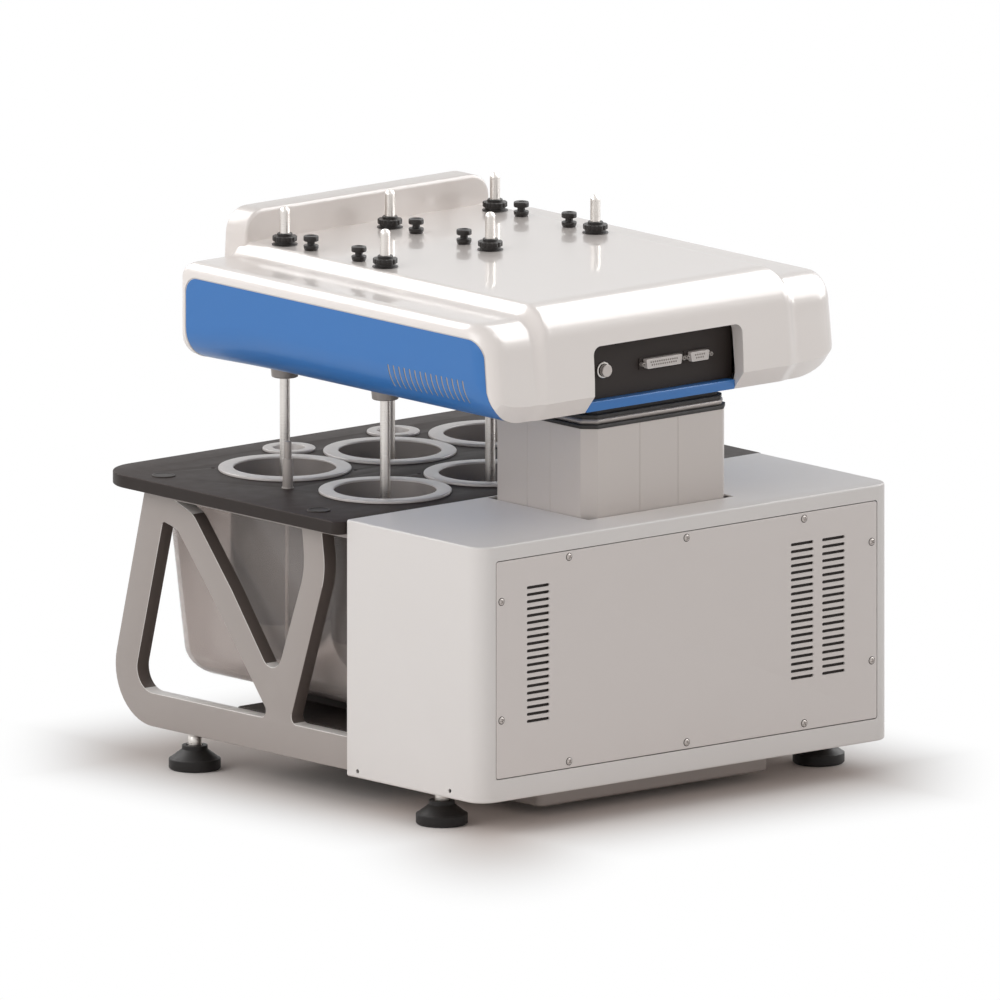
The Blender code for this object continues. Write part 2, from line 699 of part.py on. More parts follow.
FRAME_EDGE_SHARES = ((0, 0, 0), (1, 0, 1), (0.84, 1, 0.05), (0, 1, 0), (0, 0.968, 0), (0.1414, 0.968, 0.03),
                     (0.1262, 0.803, 1.4), (0.2692, 0.14, 0.13), (0, 0.14, 0))
FRONT_WINDOW_SHARES = ((0.7702, 0.868, 0.055), (0.8898, 0.141, 0.41), (0.3431, 0.141, 0.13),
                       (0.5907, 0.6234, 2.7), (0.7137, 0.847, 0.27))
MIDDLE_WINDOW_SHARES = ((0.7182, 0.966, 0), (0.6504, 0.926, 0.45), (0.4982, 0.645, 2.7),
                        (0.3291, 0.294, 0.27), (0.2087, 0.8, 1.4), (0.2203, 0.966, 0.03))


def make_side_frames():
    loops = [frame_outline(FRAME_EDGE_SHARES), frame_outline(FRONT_WINDOW_SHARES),
             frame_outline(MIDDLE_WINDOW_SHARES)]
    for name, side in (("side_frame_right", 1), ("side_frame_left", -1)):
        ends = sorted((side * FRAME_INNER, side * (FRAME_INNER + FRAME_THICK)))
        frame = part(name, prism(loops, *ends, "X"), "cast_paint")
        hole = rounds([(side * FRAME_MIDDLE, FRONT_ROW - FRONT_FOOT_AHEAD)],
                      SPIGOT_RADIUS + RUNNING, SPIGOT_RADIUS + RUNNING, FRAME_BOTTOM - OVERRUN,
                      FRAME_BOTTOM + SPIGOT_LENGTH + GAP, SMALL_STEPS)
        cut(frame, helper(f"{name}_foot_hole", hole))


def make_vessel_plate():
    loops = [rectangle(-PLATE_HALF, PLATE_HALF, PLATE_FRONT, PLATE_REAR, PLATE_FRONT_CORNER, PLATE_REAR_CORNER)]
    for x, y in SPINDLE_PLACES:
        loops.append(circle(x, y, VESSEL_RADIUS + VESSEL_HOLE_CLEARANCE, FINE_STEPS))
    for side in (-1, 1):
        loops.append(circle(side * CUP_SPACING / 2, CUP_Y, CUP_RADIUS + RUNNING, ROUND_STEPS))
    loops.append(circle(SPINDLE_PITCH + PROBE_OFFSET, MIDDLE, PROBE_ROD_RADIUS + RUNNING, SMALL_STEPS))
    part("vessel_plate", prism(loops, PLATE_BOTTOM, PLATE_TOP), "dark_plate")


def make_vessels():
    seat = PLATE_TOP + GAP
    top = seat + FLANGE_THICK
    middle = VESSEL_BOTTOM + VESSEL_RADIUS
    inner = VESSEL_RADIUS - VESSEL_WALL
    turns = [math.pi / 2 * step / ARC_STEPS for step in range(ARC_STEPS + 1)]
    profile = [(inner * math.sin(turn), middle - inner * math.cos(turn)) for turn in turns]
    profile += [(inner, top), (FLANGE_RADIUS - FLANGE_EDGE, top), (FLANGE_RADIUS, top - FLANGE_EDGE),
                (FLANGE_RADIUS, seat), (VESSEL_RADIUS, seat)]
    profile += [(VESSEL_RADIUS * math.sin(turn), middle - VESSEL_RADIUS * math.cos(turn))
                for turn in reversed(turns)]
    for number, (x, y) in enumerate(SPINDLE_PLACES, 1):
        name = f"vessel_{number}"
        turn_round(part(name, profile_mesh(profile), "clear_plastic", (x, y, 0)), ROUND_STEPS)


def make_cups():
    seat = PLATE_TOP + GAP
    top = seat + CUP_RING_THICK
    bottom = PLATE_TOP - CUP_DEPTH
    profile = [(0, bottom + CUP_WALL), (CUP_RADIUS - CUP_TAPER - CUP_WALL, bottom + CUP_WALL),
               (CUP_RADIUS - CUP_WALL, top), (CUP_RING_RADIUS, top), (CUP_RING_RADIUS, seat), (CUP_RADIUS, seat),
               (CUP_RADIUS - CUP_TAPER, bottom), (0, bottom)]
    for number, side in enumerate((1, -1), 1):
        name = f"cup_{number}"
        place = (side * CUP_SPACING / 2, CUP_Y, 0)
        turn_round(part(name, profile_mesh(profile), "clear_plastic", place), ROUND_STEPS)


def make_probe_post():
    seat = PLATE_TOP + GAP
    flange_top = seat + PROBE_FLANGE_THICK
    sleeve_top = seat + PROBE_SLEEVE_HEIGHT
    top = PLATE_TOP + PROBE_HEIGHT
    bottom = PLATE_TOP - PROBE_ROD_LENGTH
    profile = [(0, top), (PROBE_TUBE_RADIUS, top), (PROBE_TUBE_RADIUS, sleeve_top),
               (PROBE_SLEEVE_RADIUS, sleeve_top), (PROBE_SLEEVE_RADIUS, flange_top),
               (PROBE_FLANGE_RADIUS, flange_top), (PROBE_FLANGE_RADIUS, seat), (PROBE_ROD_RADIUS, seat),
               (PROBE_ROD_RADIUS, bottom), (0, bottom)]
    place = (SPINDLE_PITCH + PROBE_OFFSET, MIDDLE, 0)
    turn_round(part("probe_post", profile_mesh(profile), "steel", place), SMALL_STEPS)


def make_water_bath():
    insets = (BATH_SIDE_TAPER, BATH_SIDE_TAPER, BATH_FRONT_TAPER, BATH_REAR_TAPER)
    mesh = open_box((-BATH_HALF, BATH_FRONT, BATH_BOTTOM), (BATH_HALF, BATH_REAR, FRAME_TOP - GAP), 1, insets)
    solidify(bevel(part("water_bath", mesh, "clear_plastic"), BATH_CORNER, 4), BATH_WALL)


def make_base_tray():
    half = FRAME_INNER - GAP
    back = CABINET_FRONT - GAP
    mesh = open_box((-half, back - TRAY_DEPTH, FRAME_BOTTOM), (half, back, TRAY_TOP), -1)
    solidify(bevel(part("base_tray", mesh, "black_plastic"), TRAY_SHEET), TRAY_SHEET)


def make_circulation_heater():
    half = FRAME_INNER - HEATER_SIDE_MARGIN
    back = CABINET_FRONT - HEATER_END_MARGIN
    front = CABINET_FRONT - TRAY_DEPTH + HEATER_END_MARGIN
    low = TRAY_TOP + GAP
    outline = rectangle(-half, half, front, back, HEATER_CORNER, HEATER_CORNER)
    part("circulation_heater", prism([outline], low, low + HEATER_HEIGHT), "black_plastic")


def make_power_supply():
    left = COLUMN_SHIFT + COLUMN_WIDTH / 2 + SUPPLY_COLUMN_ROOM
    low = FLOOR_TOP + GAP
    outline = rectangle(left, left + SUPPLY_LENGTH, COLUMN_MIDDLE - SUPPLY_DEPTH / 2,
                        COLUMN_MIDDLE + SUPPLY_DEPTH / 2, SUPPLY_CORNER, SUPPLY_CORNER)
    part("power_supply", prism([outline], low, low + SUPPLY_HEIGHT), "aluminium")


def make_power_inlet():
    """The inlet module with its socket, and the rocker that tilts in its pocket."""
    face = -CABINET_HALF - GAP - INLET_LIP_THICK
    lip = part("mains_inlet", inlet_box(INLET_WIDTH / 2 + INLET_LIP, INLET_HEIGHT / 2 + INLET_LIP,
                                        face, -CABINET_HALF - GAP), "black_plastic")
    join(lip, helper("inlet_body", inlet_box(INLET_WIDTH / 2, INLET_HEIGHT / 2,
                                             face + INLET_LIP_THICK / 2, -CABINET_HALF + INLET_DEPTH)))
    cut(lip, helper("inlet_socket", inlet_box(SOCKET_WIDTH / 2, SOCKET_HEIGHT / 2,
                                              face - OVERRUN, face + SOCKET_DEPTH, -SOCKET_DROP)))
    half = ROCKER_HEIGHT / 2
    pocket_half = math.hypot(half, ROCKER_STAND) + ROCKER_CLEARANCE
    cut(lip, helper("rocker_pocket", inlet_box(ROCKER_WIDTH / 2 + RUNNING, pocket_half,
                                               face - OVERRUN, face + ROCKER_POCKET_DEPTH, ROCKER_RISE)))
    outline = [(-ROCKER_STAND, -half), (0, -half)]
    turns = [math.pi * step / (2 * ARC_STEPS) for step in range(1, 2 * ARC_STEPS)]
    outline += [(half * math.sin(turn), -half * math.cos(turn)) for turn in turns]
    outline += [(0, half), (-ROCKER_STAND, half), (-ROCKER_WAIST, 0)]
    mesh = prism([outline], -ROCKER_WIDTH / 2, ROCKER_WIDTH / 2, "Y")
    mesh.transform(Matrix.Rotation(-ROCKER_TILT, 4, "Y"))
    part("power_switch", mesh, "black_plastic",
         (face, REAR - INLET_SETBACK, CABINET_BOTTOM + INLET_RISE + ROCKER_RISE))


def make_lift():
    """The fixed actuator, and the head's rod, sleeve and gasket that rise with it."""
    low = FLOOR_TOP + GAP
    half = ACTUATOR_WIDTH / 2
    outline = rectangle(COLUMN_SHIFT - half, COLUMN_SHIFT + half, COLUMN_MIDDLE - half, COLUMN_MIDDLE + half,
                        ACTUATOR_CORNER, ACTUATOR_CORNER)
    actuator = part("lift_actuator", prism([outline], low, ACTUATOR_TOP), "aluminium")
    rod_bottom = FLOOR_TOP + ROD_FLOOR_ROOM
    axis = [(COLUMN_SHIFT, COLUMN_MIDDLE)]
    cut(actuator, helper("actuator_bore", rounds(axis, ROD_RADIUS + RUNNING, ROD_RADIUS + RUNNING,
                                                 rod_bottom - RUNNING, ACTUATOR_TOP + OVERRUN, ROUND_STEPS)))
    part("lift_rod", rounds(axis, ROD_RADIUS, ROD_RADIUS, rod_bottom, CHASSIS_BOTTOM - GAP,
                            ROUND_STEPS), "steel")
    part("column_sleeve", prism([column_outline(0), column_outline(COLUMN_WALL)],
                                FLOOR_TOP + COLUMN_FLOOR_ROOM, COLUMN_TOP), "light_paint")
    seat = COLUMN_TOP + GAP
    gasket = part("column_gasket", prism([column_outline(GASKET_NECK_INSET)],
                                         seat + GAP, HEAD_BOTTOM - GAP), "rubber")
    for name, inset, bottom, top in (("gasket_flange", -GASKET_OVERHANG, seat, COLUMN_TOP + GASKET_FLANGE),
                                     ("gasket_band", GASKET_BAND_INSET, COLUMN_TOP + GASKET_FLANGE / 2,
                                      COLUMN_TOP + GASKET_BAND_TOP),
                                     ("gasket_upper", GASKET_UPPER_INSET, COLUMN_TOP + GASKET_BAND_TOP - GAP,
                                      COLUMN_TOP + GASKET_UPPER_TOP)):
        join(gasket, helper(name, prism([column_outline(inset)], bottom, top)))
    cut(gasket, helper("gasket_hole", prism([column_outline(GASKET_WALL)],
                                            COLUMN_TOP - OVERRUN, HEAD_BOTTOM + OVERRUN)))


def head_form(name, inset):
    """The head's outer form, or its inside when inset by the wall."""
    half = HEAD_HALF - inset
    under = HEAD_UNDER_RADIUS - inset
    shoulder = helper(name, prism([rectangle(-half, half, HEAD_BOTTOM + inset, SHOULDER_TOP - inset, under,
                                                   SHOULDER_ROUND - inset)],
                                  HEAD_FRONT + inset, HEAD_REAR - inset, "Y"))
    bevel(shoulder, HEAD_END_ROUND - inset)
    front = HEAD_FRONT + HOOD_STEP_IN + inset
    low = HEAD_BOTTOM + HOOD_STEP_IN + inset
    back = HOOD_REAR - inset
    skirt = HEAD_BOTTOM + HOOD_SKIRT_RISE + inset
    outline = rounded([(front, low, 0), (back - HOOD_SKIRT_RUN, low, 0), (back, skirt, 0),
                       (back, DECK - inset, HOOD_REAR_ROUND - inset),
                       (front, DECK - inset, SHOULDER_ROUND - inset)])
    hood = helper(f"{name}_hood", prism([outline], -HOOD_HALF + inset, HOOD_HALF - inset, "X"))
    bevel(hood, HOOD_SIDE_ROUND - inset)
    return join(shoulder, hood)


def split_block(name, margin):
    """The block that divides the lower shell from the cover, drawn in by a margin."""
    front = HEAD_FRONT + SIDE_FRONT_MARGIN + margin
    back_top = HEAD_REAR - SIDE_REAR_MARGIN - margin
    back_low = back_top + SIDE_REAR_LEAN
    low = HEAD_BOTTOM - SIDE_UNDER_PASS
    outline = rounded([(front, low, SIDE_FRONT_UNDER_RADIUS), (back_low, low, SIDE_REAR_FOOT_CORNER),
                       (back_top, PARTING - margin, SIDE_TOP_CORNER), (front, PARTING - margin, SIDE_TOP_CORNER)])
    return helper(name, prism([outline], -HEAD_HALF - OVERRUN, HEAD_HALF + OVERRUN, "X"))


def bay_outline(grow, low):
    half = BAY_WIDTH / 2 + grow
    return rectangle(-half, half, low, HEAD_BOTTOM + BAY_HEIGHT + grow, 0, BAY_CORNER + grow)


def make_head_shells():
    shell = cut(head_form("head_outside", 0), head_form("head_inside", HEAD_WALL))
    shell_mesh = evaluated_mesh(shell)
    bay = helper("bay_cut", prism([bay_outline(0, HEAD_BOTTOM - OVERRUN)], BAY_FACE,
                                  REAR + OVERRUN, "Y"))

    cover = part("head_cover", shell_mesh.copy(), "white_plastic")
    cut(cover, split_block("cover_split", -GAP / 2))
    join(cover, helper("bay_lip", prism([bay_outline(HEAD_WALL, HEAD_BOTTOM + BAY_SILL)], BAY_FACE + GAP,
                                        HOOD_REAR - HEAD_WALL / 2, "Y")))
    cut(cover, bay)
    tube_hole = TUBE_RADIUS + RUNNING
    cut(cover, helper("tube_holes", rounds(SPINDLE_PLACES, tube_hole, tube_hole, DECK - OVERRUN,
                                           DECK + OVERRUN, ROUND_STEPS)))
    plug_hole = PLUG_SPIGOT_RADIUS + RUNNING
    cut(cover, helper("plug_holes", rounds(PLUG_PLACES, plug_hole, plug_hole, DECK - OVERRUN,
                                           DECK + OVERRUN, SMALL_STEPS)))

    lower = part("head_lower_shell", shell_mesh, "blue_plastic")
    combine(lower, split_block("lower_split", GAP / 2), "INTERSECT")
    half = BAY_WIDTH / 2 - GAP
    join(lower, helper("bay_sill", box((-half, BAY_FACE - HEAD_WALL, HEAD_BOTTOM + HEAD_WALL / 2),
                                       (half, BAY_FACE + HEAD_WALL / 2, HEAD_BOTTOM + BAY_SILL))))
    cut(lower, bay)
    boss_hole = BOSS_TOP_RADIUS + RUNNING
    cut(lower, helper("boss_holes", rounds(SPINDLE_PLACES, boss_hole, boss_hole,
                                           HEAD_BOTTOM - OVERRUN, HEAD_BOTTOM + OVERRUN, ROUND_STEPS)))
    rod_hole = ROD_RADIUS + RUNNING
    cut(lower, helper("rod_hole", rounds([(COLUMN_SHIFT, COLUMN_MIDDLE)], rod_hole, rod_hole,
                                         HEAD_BOTTOM - OVERRUN, HEAD_BOTTOM + OVERRUN, ROUND_STEPS)))
    slots = []
    for side in (-1, 1):
        ends = sorted((side * (HEAD_HALF - HEAD_UNDER_RADIUS / 2), side * (HEAD_HALF + OVERRUN)))
        for number in range(HEAD_SLOT_COUNT):
            y = HEAD_REAR - HEAD_SLOT_SETBACK - number * HEAD_SLOT_PITCH
            slots.append(((ends[0], y - HEAD_SLOT_WIDTH / 2, HEAD_BOTTOM + HEAD_SLOT_RISE),
                          (ends[1], y + HEAD_SLOT_WIDTH / 2, HEAD_BOTTOM + HEAD_SLOT_RISE + HEAD_SLOT_LENGTH)))
    cut(lower, helper("head_slots", boxes(slots)))


def connector_outline(x, width):
    """A connector face, wider at its top than at its foot."""
    z = HEAD_BOTTOM + CONNECTOR_RISE
    half_height = CONNECTOR_HEIGHT / 2
    return rounded([(x - width / 2 + CONNECTOR_SLANT, z - half_height, CONNECTOR_ROUND),
                    (x + width / 2 - CONNECTOR_SLANT, z - half_height, CONNECTOR_ROUND),
                    (x + width / 2, z + half_height, CONNECTOR_ROUND),
                    (x - width / 2, z + half_height, CONNECTOR_ROUND)])


def make_connector_bay():
    half = BAY_WIDTH / 2 + HEAD_WALL
    panel = part("connector_panel", box((-half, BAY_FACE - CONNECTOR_PANEL_THICK,
                                                            HEAD_BOTTOM + BAY_SILL + GAP),
                                        (half, BAY_FACE, HEAD_BOTTOM + BAY_HEIGHT + HEAD_WALL)), "black_plastic")
    stem_hole = BUTTON_STEM_RADIUS + RUNNING
    z = HEAD_BOTTOM + CONNECTOR_RISE
    cut(panel, helper("button_hole", prism([circle(BUTTON_X, z, stem_hole, SMALL_STEPS)],
                                           BAY_FACE - OVERRUN, BAY_FACE + OVERRUN, "Y")))
    for name, x, width in (("connector_25", WIDE_CONNECTOR_X, WIDE_CONNECTOR_WIDTH),
                           ("connector_9", NARROW_CONNECTOR_X, NARROW_CONNECTOR_WIDTH)):
        part(name, prism([connector_outline(x, width)], BAY_FACE + GAP, BAY_FACE + GAP + CONNECTOR_STAND,
                         "Y"), "steel")
    rest = BUTTON_TRAVEL + GAP
    profile = [(0, rest + BUTTON_STAND), (BUTTON_RADIUS, rest + BUTTON_STAND), (BUTTON_RADIUS, rest),
               (BUTTON_STEM_RADIUS, rest), (BUTTON_STEM_RADIUS, -BUTTON_STEM_LENGTH), (0, -BUTTON_STEM_LENGTH)]
    button = part("reset_button", profile_mesh(profile), "steel", (BUTTON_X, BAY_FACE, z))
    button.rotation_euler = (-math.pi / 2, 0, 0)
    turn_round(button, ROUND_STEPS)


def make_chassis():
    half = HEAD_HALF - HEAD_UNDER_RADIUS
    outline = rectangle(-half, half, HEAD_FRONT + CHASSIS_FRONT_MARGIN, HEAD_REAR - CHASSIS_REAR_MARGIN,
                        CHASSIS_CORNER, CHASSIS_CORNER)
    plate = part("bearing_plate", prism([outline], CHASSIS_BOTTOM, CHASSIS_TOP), "aluminium")
    join(plate, helper("bosses", rounds(SPINDLE_PLACES, BOSS_BOTTOM_RADIUS, BOSS_TOP_RADIUS, BOSS_BOTTOM,
                                        CHASSIS_BOTTOM + CHASSIS_THICK / 2, ROUND_STEPS)))
    bore = TUBE_RADIUS + RUNNING
    cut(plate, helper("bearing_bores", rounds(SPINDLE_PLACES, bore, bore, BOSS_BOTTOM - OVERRUN,
                                              CHASSIS_TOP + OVERRUN, ROUND_STEPS)))


def hull(points):
    """The convex outline round points, anticlockwise."""
    ordered = sorted(set(points))

    def chain(run):
        edge = []
        for u, v in run:
            while len(edge) > 1 and ((edge[-1][0] - edge[-2][0]) * (v - edge[-2][1])
                                     <= (edge[-1][1] - edge[-2][1]) * (u - edge[-2][0])):
                edge.pop()
            edge.append((u, v))
        return edge[:-1]
    return chain(ordered) + chain(reversed(ordered))


def belt_outline(radius):
    points = []
    for x, y in SPINDLE_PLACES + [(MOTOR_X, MIDDLE)]:
        points += circle(x, y, radius, ROUND_STEPS)
    return hull(points)


def make_drive():
    motor_top = PULLEY_BOTTOM - MOTOR_PULLEY_ROOM
    place = [(MOTOR_X, MIDDLE)]
    motor = part("drive_motor", rounds(place, MOTOR_RADIUS, MOTOR_RADIUS, CHASSIS_TOP + GAP,
                                       motor_top, ROUND_STEPS), "aluminium")
    shaft_end = motor_top - MOTOR_SHAFT_ENGAGE
    bore = MOTOR_SHAFT_RADIUS + RUNNING
    cut(motor, helper("motor_bore", rounds(place, bore, bore, shaft_end - RUNNING,
                                           motor_top + OVERRUN, SMALL_STEPS)))
    profile = [(0, PULLEY_TOP), (PULLEY_RADIUS, PULLEY_TOP), (PULLEY_RADIUS, PULLEY_BOTTOM),
               (MOTOR_SHAFT_RADIUS, PULLEY_BOTTOM), (MOTOR_SHAFT_RADIUS, shaft_end), (0, shaft_end)]
    turn_round(part("motor_pulley", profile_mesh(profile), "aluminium", (MOTOR_X, MIDDLE, 0)),
               ROUND_STEPS)
    reach = PULLEY_RADIUS + RUNNING
    part("drive_belt", prism([belt_outline(reach + BELT_THICK), belt_outline(reach)],
                             PULLEY_BOTTOM + BELT_SIDE_MARGIN, PULLEY_TOP - BELT_SIDE_MARGIN), "rubber")


def make_chucks():
    """Each spindle's hollow tube with its pulley below the deck and its knob on it."""
    bore = SHAFT_RADIUS + RUNNING
    profile = [(bore, DECK + KNOB_HEIGHT), (KNOB_HUB_RADIUS, DECK + KNOB_HEIGHT),
               (KNOB_HUB_RADIUS, DECK + KNOB_DISC_TOP), (KNOB_DISC_RADIUS, DECK + KNOB_DISC_TOP),
               (KNOB_DISC_RADIUS, DECK + KNOB_DISC_BOTTOM), (KNOB_BODY_RADIUS, DECK + KNOB_DISC_BOTTOM),
               (KNOB_BODY_RADIUS, DECK + GAP), (TUBE_RADIUS, DECK + GAP), (TUBE_RADIUS, PULLEY_TOP),
               (PULLEY_RADIUS, PULLEY_TOP), (PULLEY_RADIUS, PULLEY_BOTTOM), (TUBE_RADIUS, PULLEY_BOTTOM),
               (TUBE_RADIUS, BOSS_BOTTOM), (bore, BOSS_BOTTOM)]
    for number, (x, y) in enumerate(SPINDLE_PLACES, 1):
        name = f"chuck_{number}"
        turn_round(part(name, profile_mesh(profile, closed=True), "black_plastic", (x, y, 0)), ROUND_STEPS)


def make_paddle_shafts():
    tip = DECK + SHAFT_STAND
    turns = [math.pi / 2 * step / (ARC_STEPS - 2) for step in range(ARC_STEPS - 1)]
    profile = [(SHAFT_RADIUS * math.sin(turn), tip - SHAFT_RADIUS * (1 - math.cos(turn))) for turn in turns]
    end = PADDLE_BOTTOM + PADDLE_HEIGHT / 2
    profile += [(SHAFT_RADIUS, end), (0, end)]
    low = PADDLE_BOTTOM_WIDTH / 2
    high = PADDLE_TOP_WIDTH / 2
    outline = [(-low, PADDLE_BOTTOM), (low, PADDLE_BOTTOM), (high, PADDLE_BOTTOM + PADDLE_HEIGHT),
               (-high, PADDLE_BOTTOM + PADDLE_HEIGHT)]
    for number, (x, y) in enumerate(SPINDLE_PLACES, 1):
        name = f"paddle_shaft_{number}"
        shaft = turn_round(part(name, profile_mesh(profile), "steel", (x, y, 0)), SMALL_STEPS)
        blade = prism([outline], -PADDLE_THICK / 2, PADDLE_THICK / 2, "Y")
        join(shaft, helper(f"paddle_{number}", blade, (x, y, 0)))


def make_port_plugs():
    profile = [(0, DECK + PLUG_HEIGHT), (PLUG_RADIUS, DECK + PLUG_HEIGHT), (PLUG_RADIUS, DECK + PLUG_UPPER_BOTTOM),
               (PLUG_NECK_RADIUS, DECK + PLUG_UPPER_BOTTOM), (PLUG_NECK_RADIUS, DECK + PLUG_LOWER_TOP),
               (PLUG_RADIUS, DECK + PLUG_LOWER_TOP), (PLUG_FOOT_RADIUS, DECK + GAP),
               (PLUG_SPIGOT_RADIUS, DECK + GAP), (PLUG_SPIGOT_RADIUS, DECK - PLUG_SPIGOT_LENGTH),
               (0, DECK - PLUG_SPIGOT_LENGTH)]
    for number, (x, y) in enumerate(PLUG_PLACES, 1):
        name = f"port_plug_{number}"
        turn_round(part(name, profile_mesh(profile), "black_plastic", (x, y, 0)), SMALL_STEPS)


def slope_band(low_share, high_share, inner, outer):
    """A strip along the control housing's sloping front, from one depth to another."""
    foot = (HEAD_FRONT - CONTROL_BOTTOM_FORWARD, HEAD_BOTTOM + CONTROL_FOOT_RISE)
    head = (HEAD_FRONT - CONTROL_TOP_FORWARD, DECK + CONTROL_RISE)
    run = (head[0] - foot[0], head[1] - foot[1])
    length = math.hypot(*run)
    out = (-run[1] / length, run[0] / length)
    corners = []
    for share, depth in ((low_share, inner), (low_share, outer), (high_share, outer), (high_share, inner)):
        corners.append((foot[0] + share * run[0] + depth * out[0], foot[1] + share * run[1] + depth * out[1]))
    return corners


def make_control_panel():
    top = DECK + CONTROL_RISE
    foot = HEAD_BOTTOM + CONTROL_FOOT_RISE
    outline = rounded([(HEAD_FRONT + CONTROL_REAR_REACH, DECK + GAP, 0),
                       (HEAD_FRONT + CONTROL_REAR_REACH, top, CONTROL_REAR_ROUND),
                       (HEAD_FRONT - CONTROL_TOP_FORWARD, top, CONTROL_EDGE),
                       (HEAD_FRONT - CONTROL_BOTTOM_FORWARD, foot, CONTROL_EDGE), (HEAD_FRONT - GAP, foot, 0),
                       (HEAD_FRONT - GAP, DECK + GAP, 0)])
    housing = part("control_panel", prism([outline], -CONTROL_HALF, CONTROL_HALF, "X"),
                   "white_plastic")
    half = CONTROL_HALF - MEMBRANE_SIDE_MARGIN
    pocket = slope_band(MEMBRANE_BOTTOM_SHARE, MEMBRANE_TOP_SHARE, -MEMBRANE_THICK, OVERRUN)
    cut(housing, helper("membrane_pocket", prism([pocket], -half, half, "X")))
    high = (DECK - HEAD_WALL - foot) / (top - foot)
    hollow = slope_band(HEAD_WALL / (top - foot), high, -CONTROL_BOTTOM_FORWARD - CONTROL_REAR_REACH,
                        -MEMBRANE_THICK - HEAD_WALL)
    hollow_half = CONTROL_HALF - CONTROL_EDGE - HEAD_WALL
    cut(housing, helper("control_hollow", prism([hollow], -hollow_half, hollow_half, "X")))
    sheet_half = half - GAP
    trim = GAP / CONTROL_RISE
    sheet = slope_band(MEMBRANE_BOTTOM_SHARE + trim, MEMBRANE_TOP_SHARE - trim, -MEMBRANE_THICK + GAP, 0)
    part("keypad_membrane", prism([sheet], -sheet_half, sheet_half, "X"), "black_plastic")


def gather_head():
    """Parents what rises with the head to an empty on the lift's axis."""
    lift = bpy.data.objects.new("head_lift", None)
    lift.location = (COLUMN_SHIFT, COLUMN_MIDDLE, COLUMN_TOP)
    PARTS.objects.link(lift)
    away = Matrix.Translation(lift.location).inverted()
    riding = ["head_cover", "head_lower_shell", "connector_panel", "connector_25", "connector_9", "reset_button",
              "bearing_plate", "drive_motor", "motor_pulley", "drive_belt", "control_panel", "keypad_membrane",
              "column_sleeve", "column_gasket", "lift_rod"]
    for number in range(1, len(SPINDLE_PLACES) + 1):
        riding += [f"chuck_{number}", f"paddle_shaft_{number}", f"port_plug_{number}"]
    for name in riding:
        rider = bpy.data.objects[name]
        rider.parent = lift
        rider.matrix_parent_inverse = away


clear_scene()
PARTS = new_collection("tablet_dissolution_tester")
HELPERS = new_collection("cutters")
make_cabinet_shell()
make_cabinet_floor()
make_service_panel()
make_base_pan()
make_feet()
make_side_frames()
make_vessel_plate()
make_vessels()
make_cups()
make_probe_post()
make_water_bath()
make_base_tray()
make_circulation_heater()
make_power_supply()
make_power_inlet()
make_lift()
make_head_shells()
make_connector_bay()
make_chassis()
make_drive()
make_chucks()
make_paddle_shafts()
make_port_plugs()
make_control_panel()
gather_head()
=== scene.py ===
# %% [markdown]
# # A tablet dissolution tester, dressed round its CAD frame
# The instrument stirs six vessels of liquid with six paddles, while a warm bath holds their
# temperature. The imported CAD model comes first, as a frame with working joints. Everything below
# gives that frame its finished shapes and surfaces: smooth mouldings, turned metal, clear vessels.

import math

import bmesh
import bpy
from mathutils import Matrix, Vector


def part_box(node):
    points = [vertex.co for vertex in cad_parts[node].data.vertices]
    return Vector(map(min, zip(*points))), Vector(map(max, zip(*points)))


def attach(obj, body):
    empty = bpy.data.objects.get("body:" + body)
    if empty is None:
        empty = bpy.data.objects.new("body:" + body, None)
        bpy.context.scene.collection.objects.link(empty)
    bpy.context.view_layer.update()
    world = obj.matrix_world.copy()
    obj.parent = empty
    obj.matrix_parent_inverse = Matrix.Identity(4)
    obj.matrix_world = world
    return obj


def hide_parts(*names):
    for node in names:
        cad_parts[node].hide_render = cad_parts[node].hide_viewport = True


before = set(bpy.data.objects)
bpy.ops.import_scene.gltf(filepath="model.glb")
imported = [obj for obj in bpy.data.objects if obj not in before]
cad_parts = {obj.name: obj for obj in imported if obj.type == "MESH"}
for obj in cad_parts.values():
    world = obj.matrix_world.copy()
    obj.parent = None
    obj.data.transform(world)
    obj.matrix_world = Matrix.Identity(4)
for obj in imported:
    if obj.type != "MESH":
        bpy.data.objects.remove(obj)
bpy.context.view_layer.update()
MM = 0.001

# %% [markdown]
# ## Camera
# A product picture whose parallel lines stay parallel needs an orthographic camera. It stands
# behind the instrument, to its right, a little above it, and one metre of view fills the frame.

# %% Place the camera
AZIMUTH, ELEVATION = math.radians(139.52), math.radians(10.97)
VIEW_WIDTH = 0.9772
LOOK_AT = Vector((0.0, 0.0041, 0.2625))
CAMERA_DISTANCE = 3.0

camera = bpy.data.objects.new("camera", bpy.data.cameras.new("camera"))
bpy.context.scene.collection.objects.link(camera)
back = Vector((math.sin(AZIMUTH) * math.cos(ELEVATION), -math.cos(AZIMUTH) * math.cos(ELEVATION),
               math.sin(ELEVATION)))
camera.location = LOOK_AT + back * CAMERA_DISTANCE
camera.rotation_euler = (-back).to_track_quat("-Z", "Y").to_euler()
camera.data.type = "ORTHO"
camera.data.ortho_scale = VIEW_WIDTH
bpy.context.scene.camera = camera
print("camera at", tuple(round(c, 3) for c in camera.location))

# %% [markdown]
# ## Wiring nodes in few words
# Shader trees and geometry trees are wired in the same way, so one helper adds a node, sets its
# properties, and either plugs a link or writes a constant into each socket.

# %% Node helpers
def plug(tree, socket, value):
    """Links value to the socket if it is an output, and otherwise writes it there."""
    if isinstance(value, bpy.types.NodeSocket):
        tree.links.new(value, socket)
    else:
        socket.default_value = value


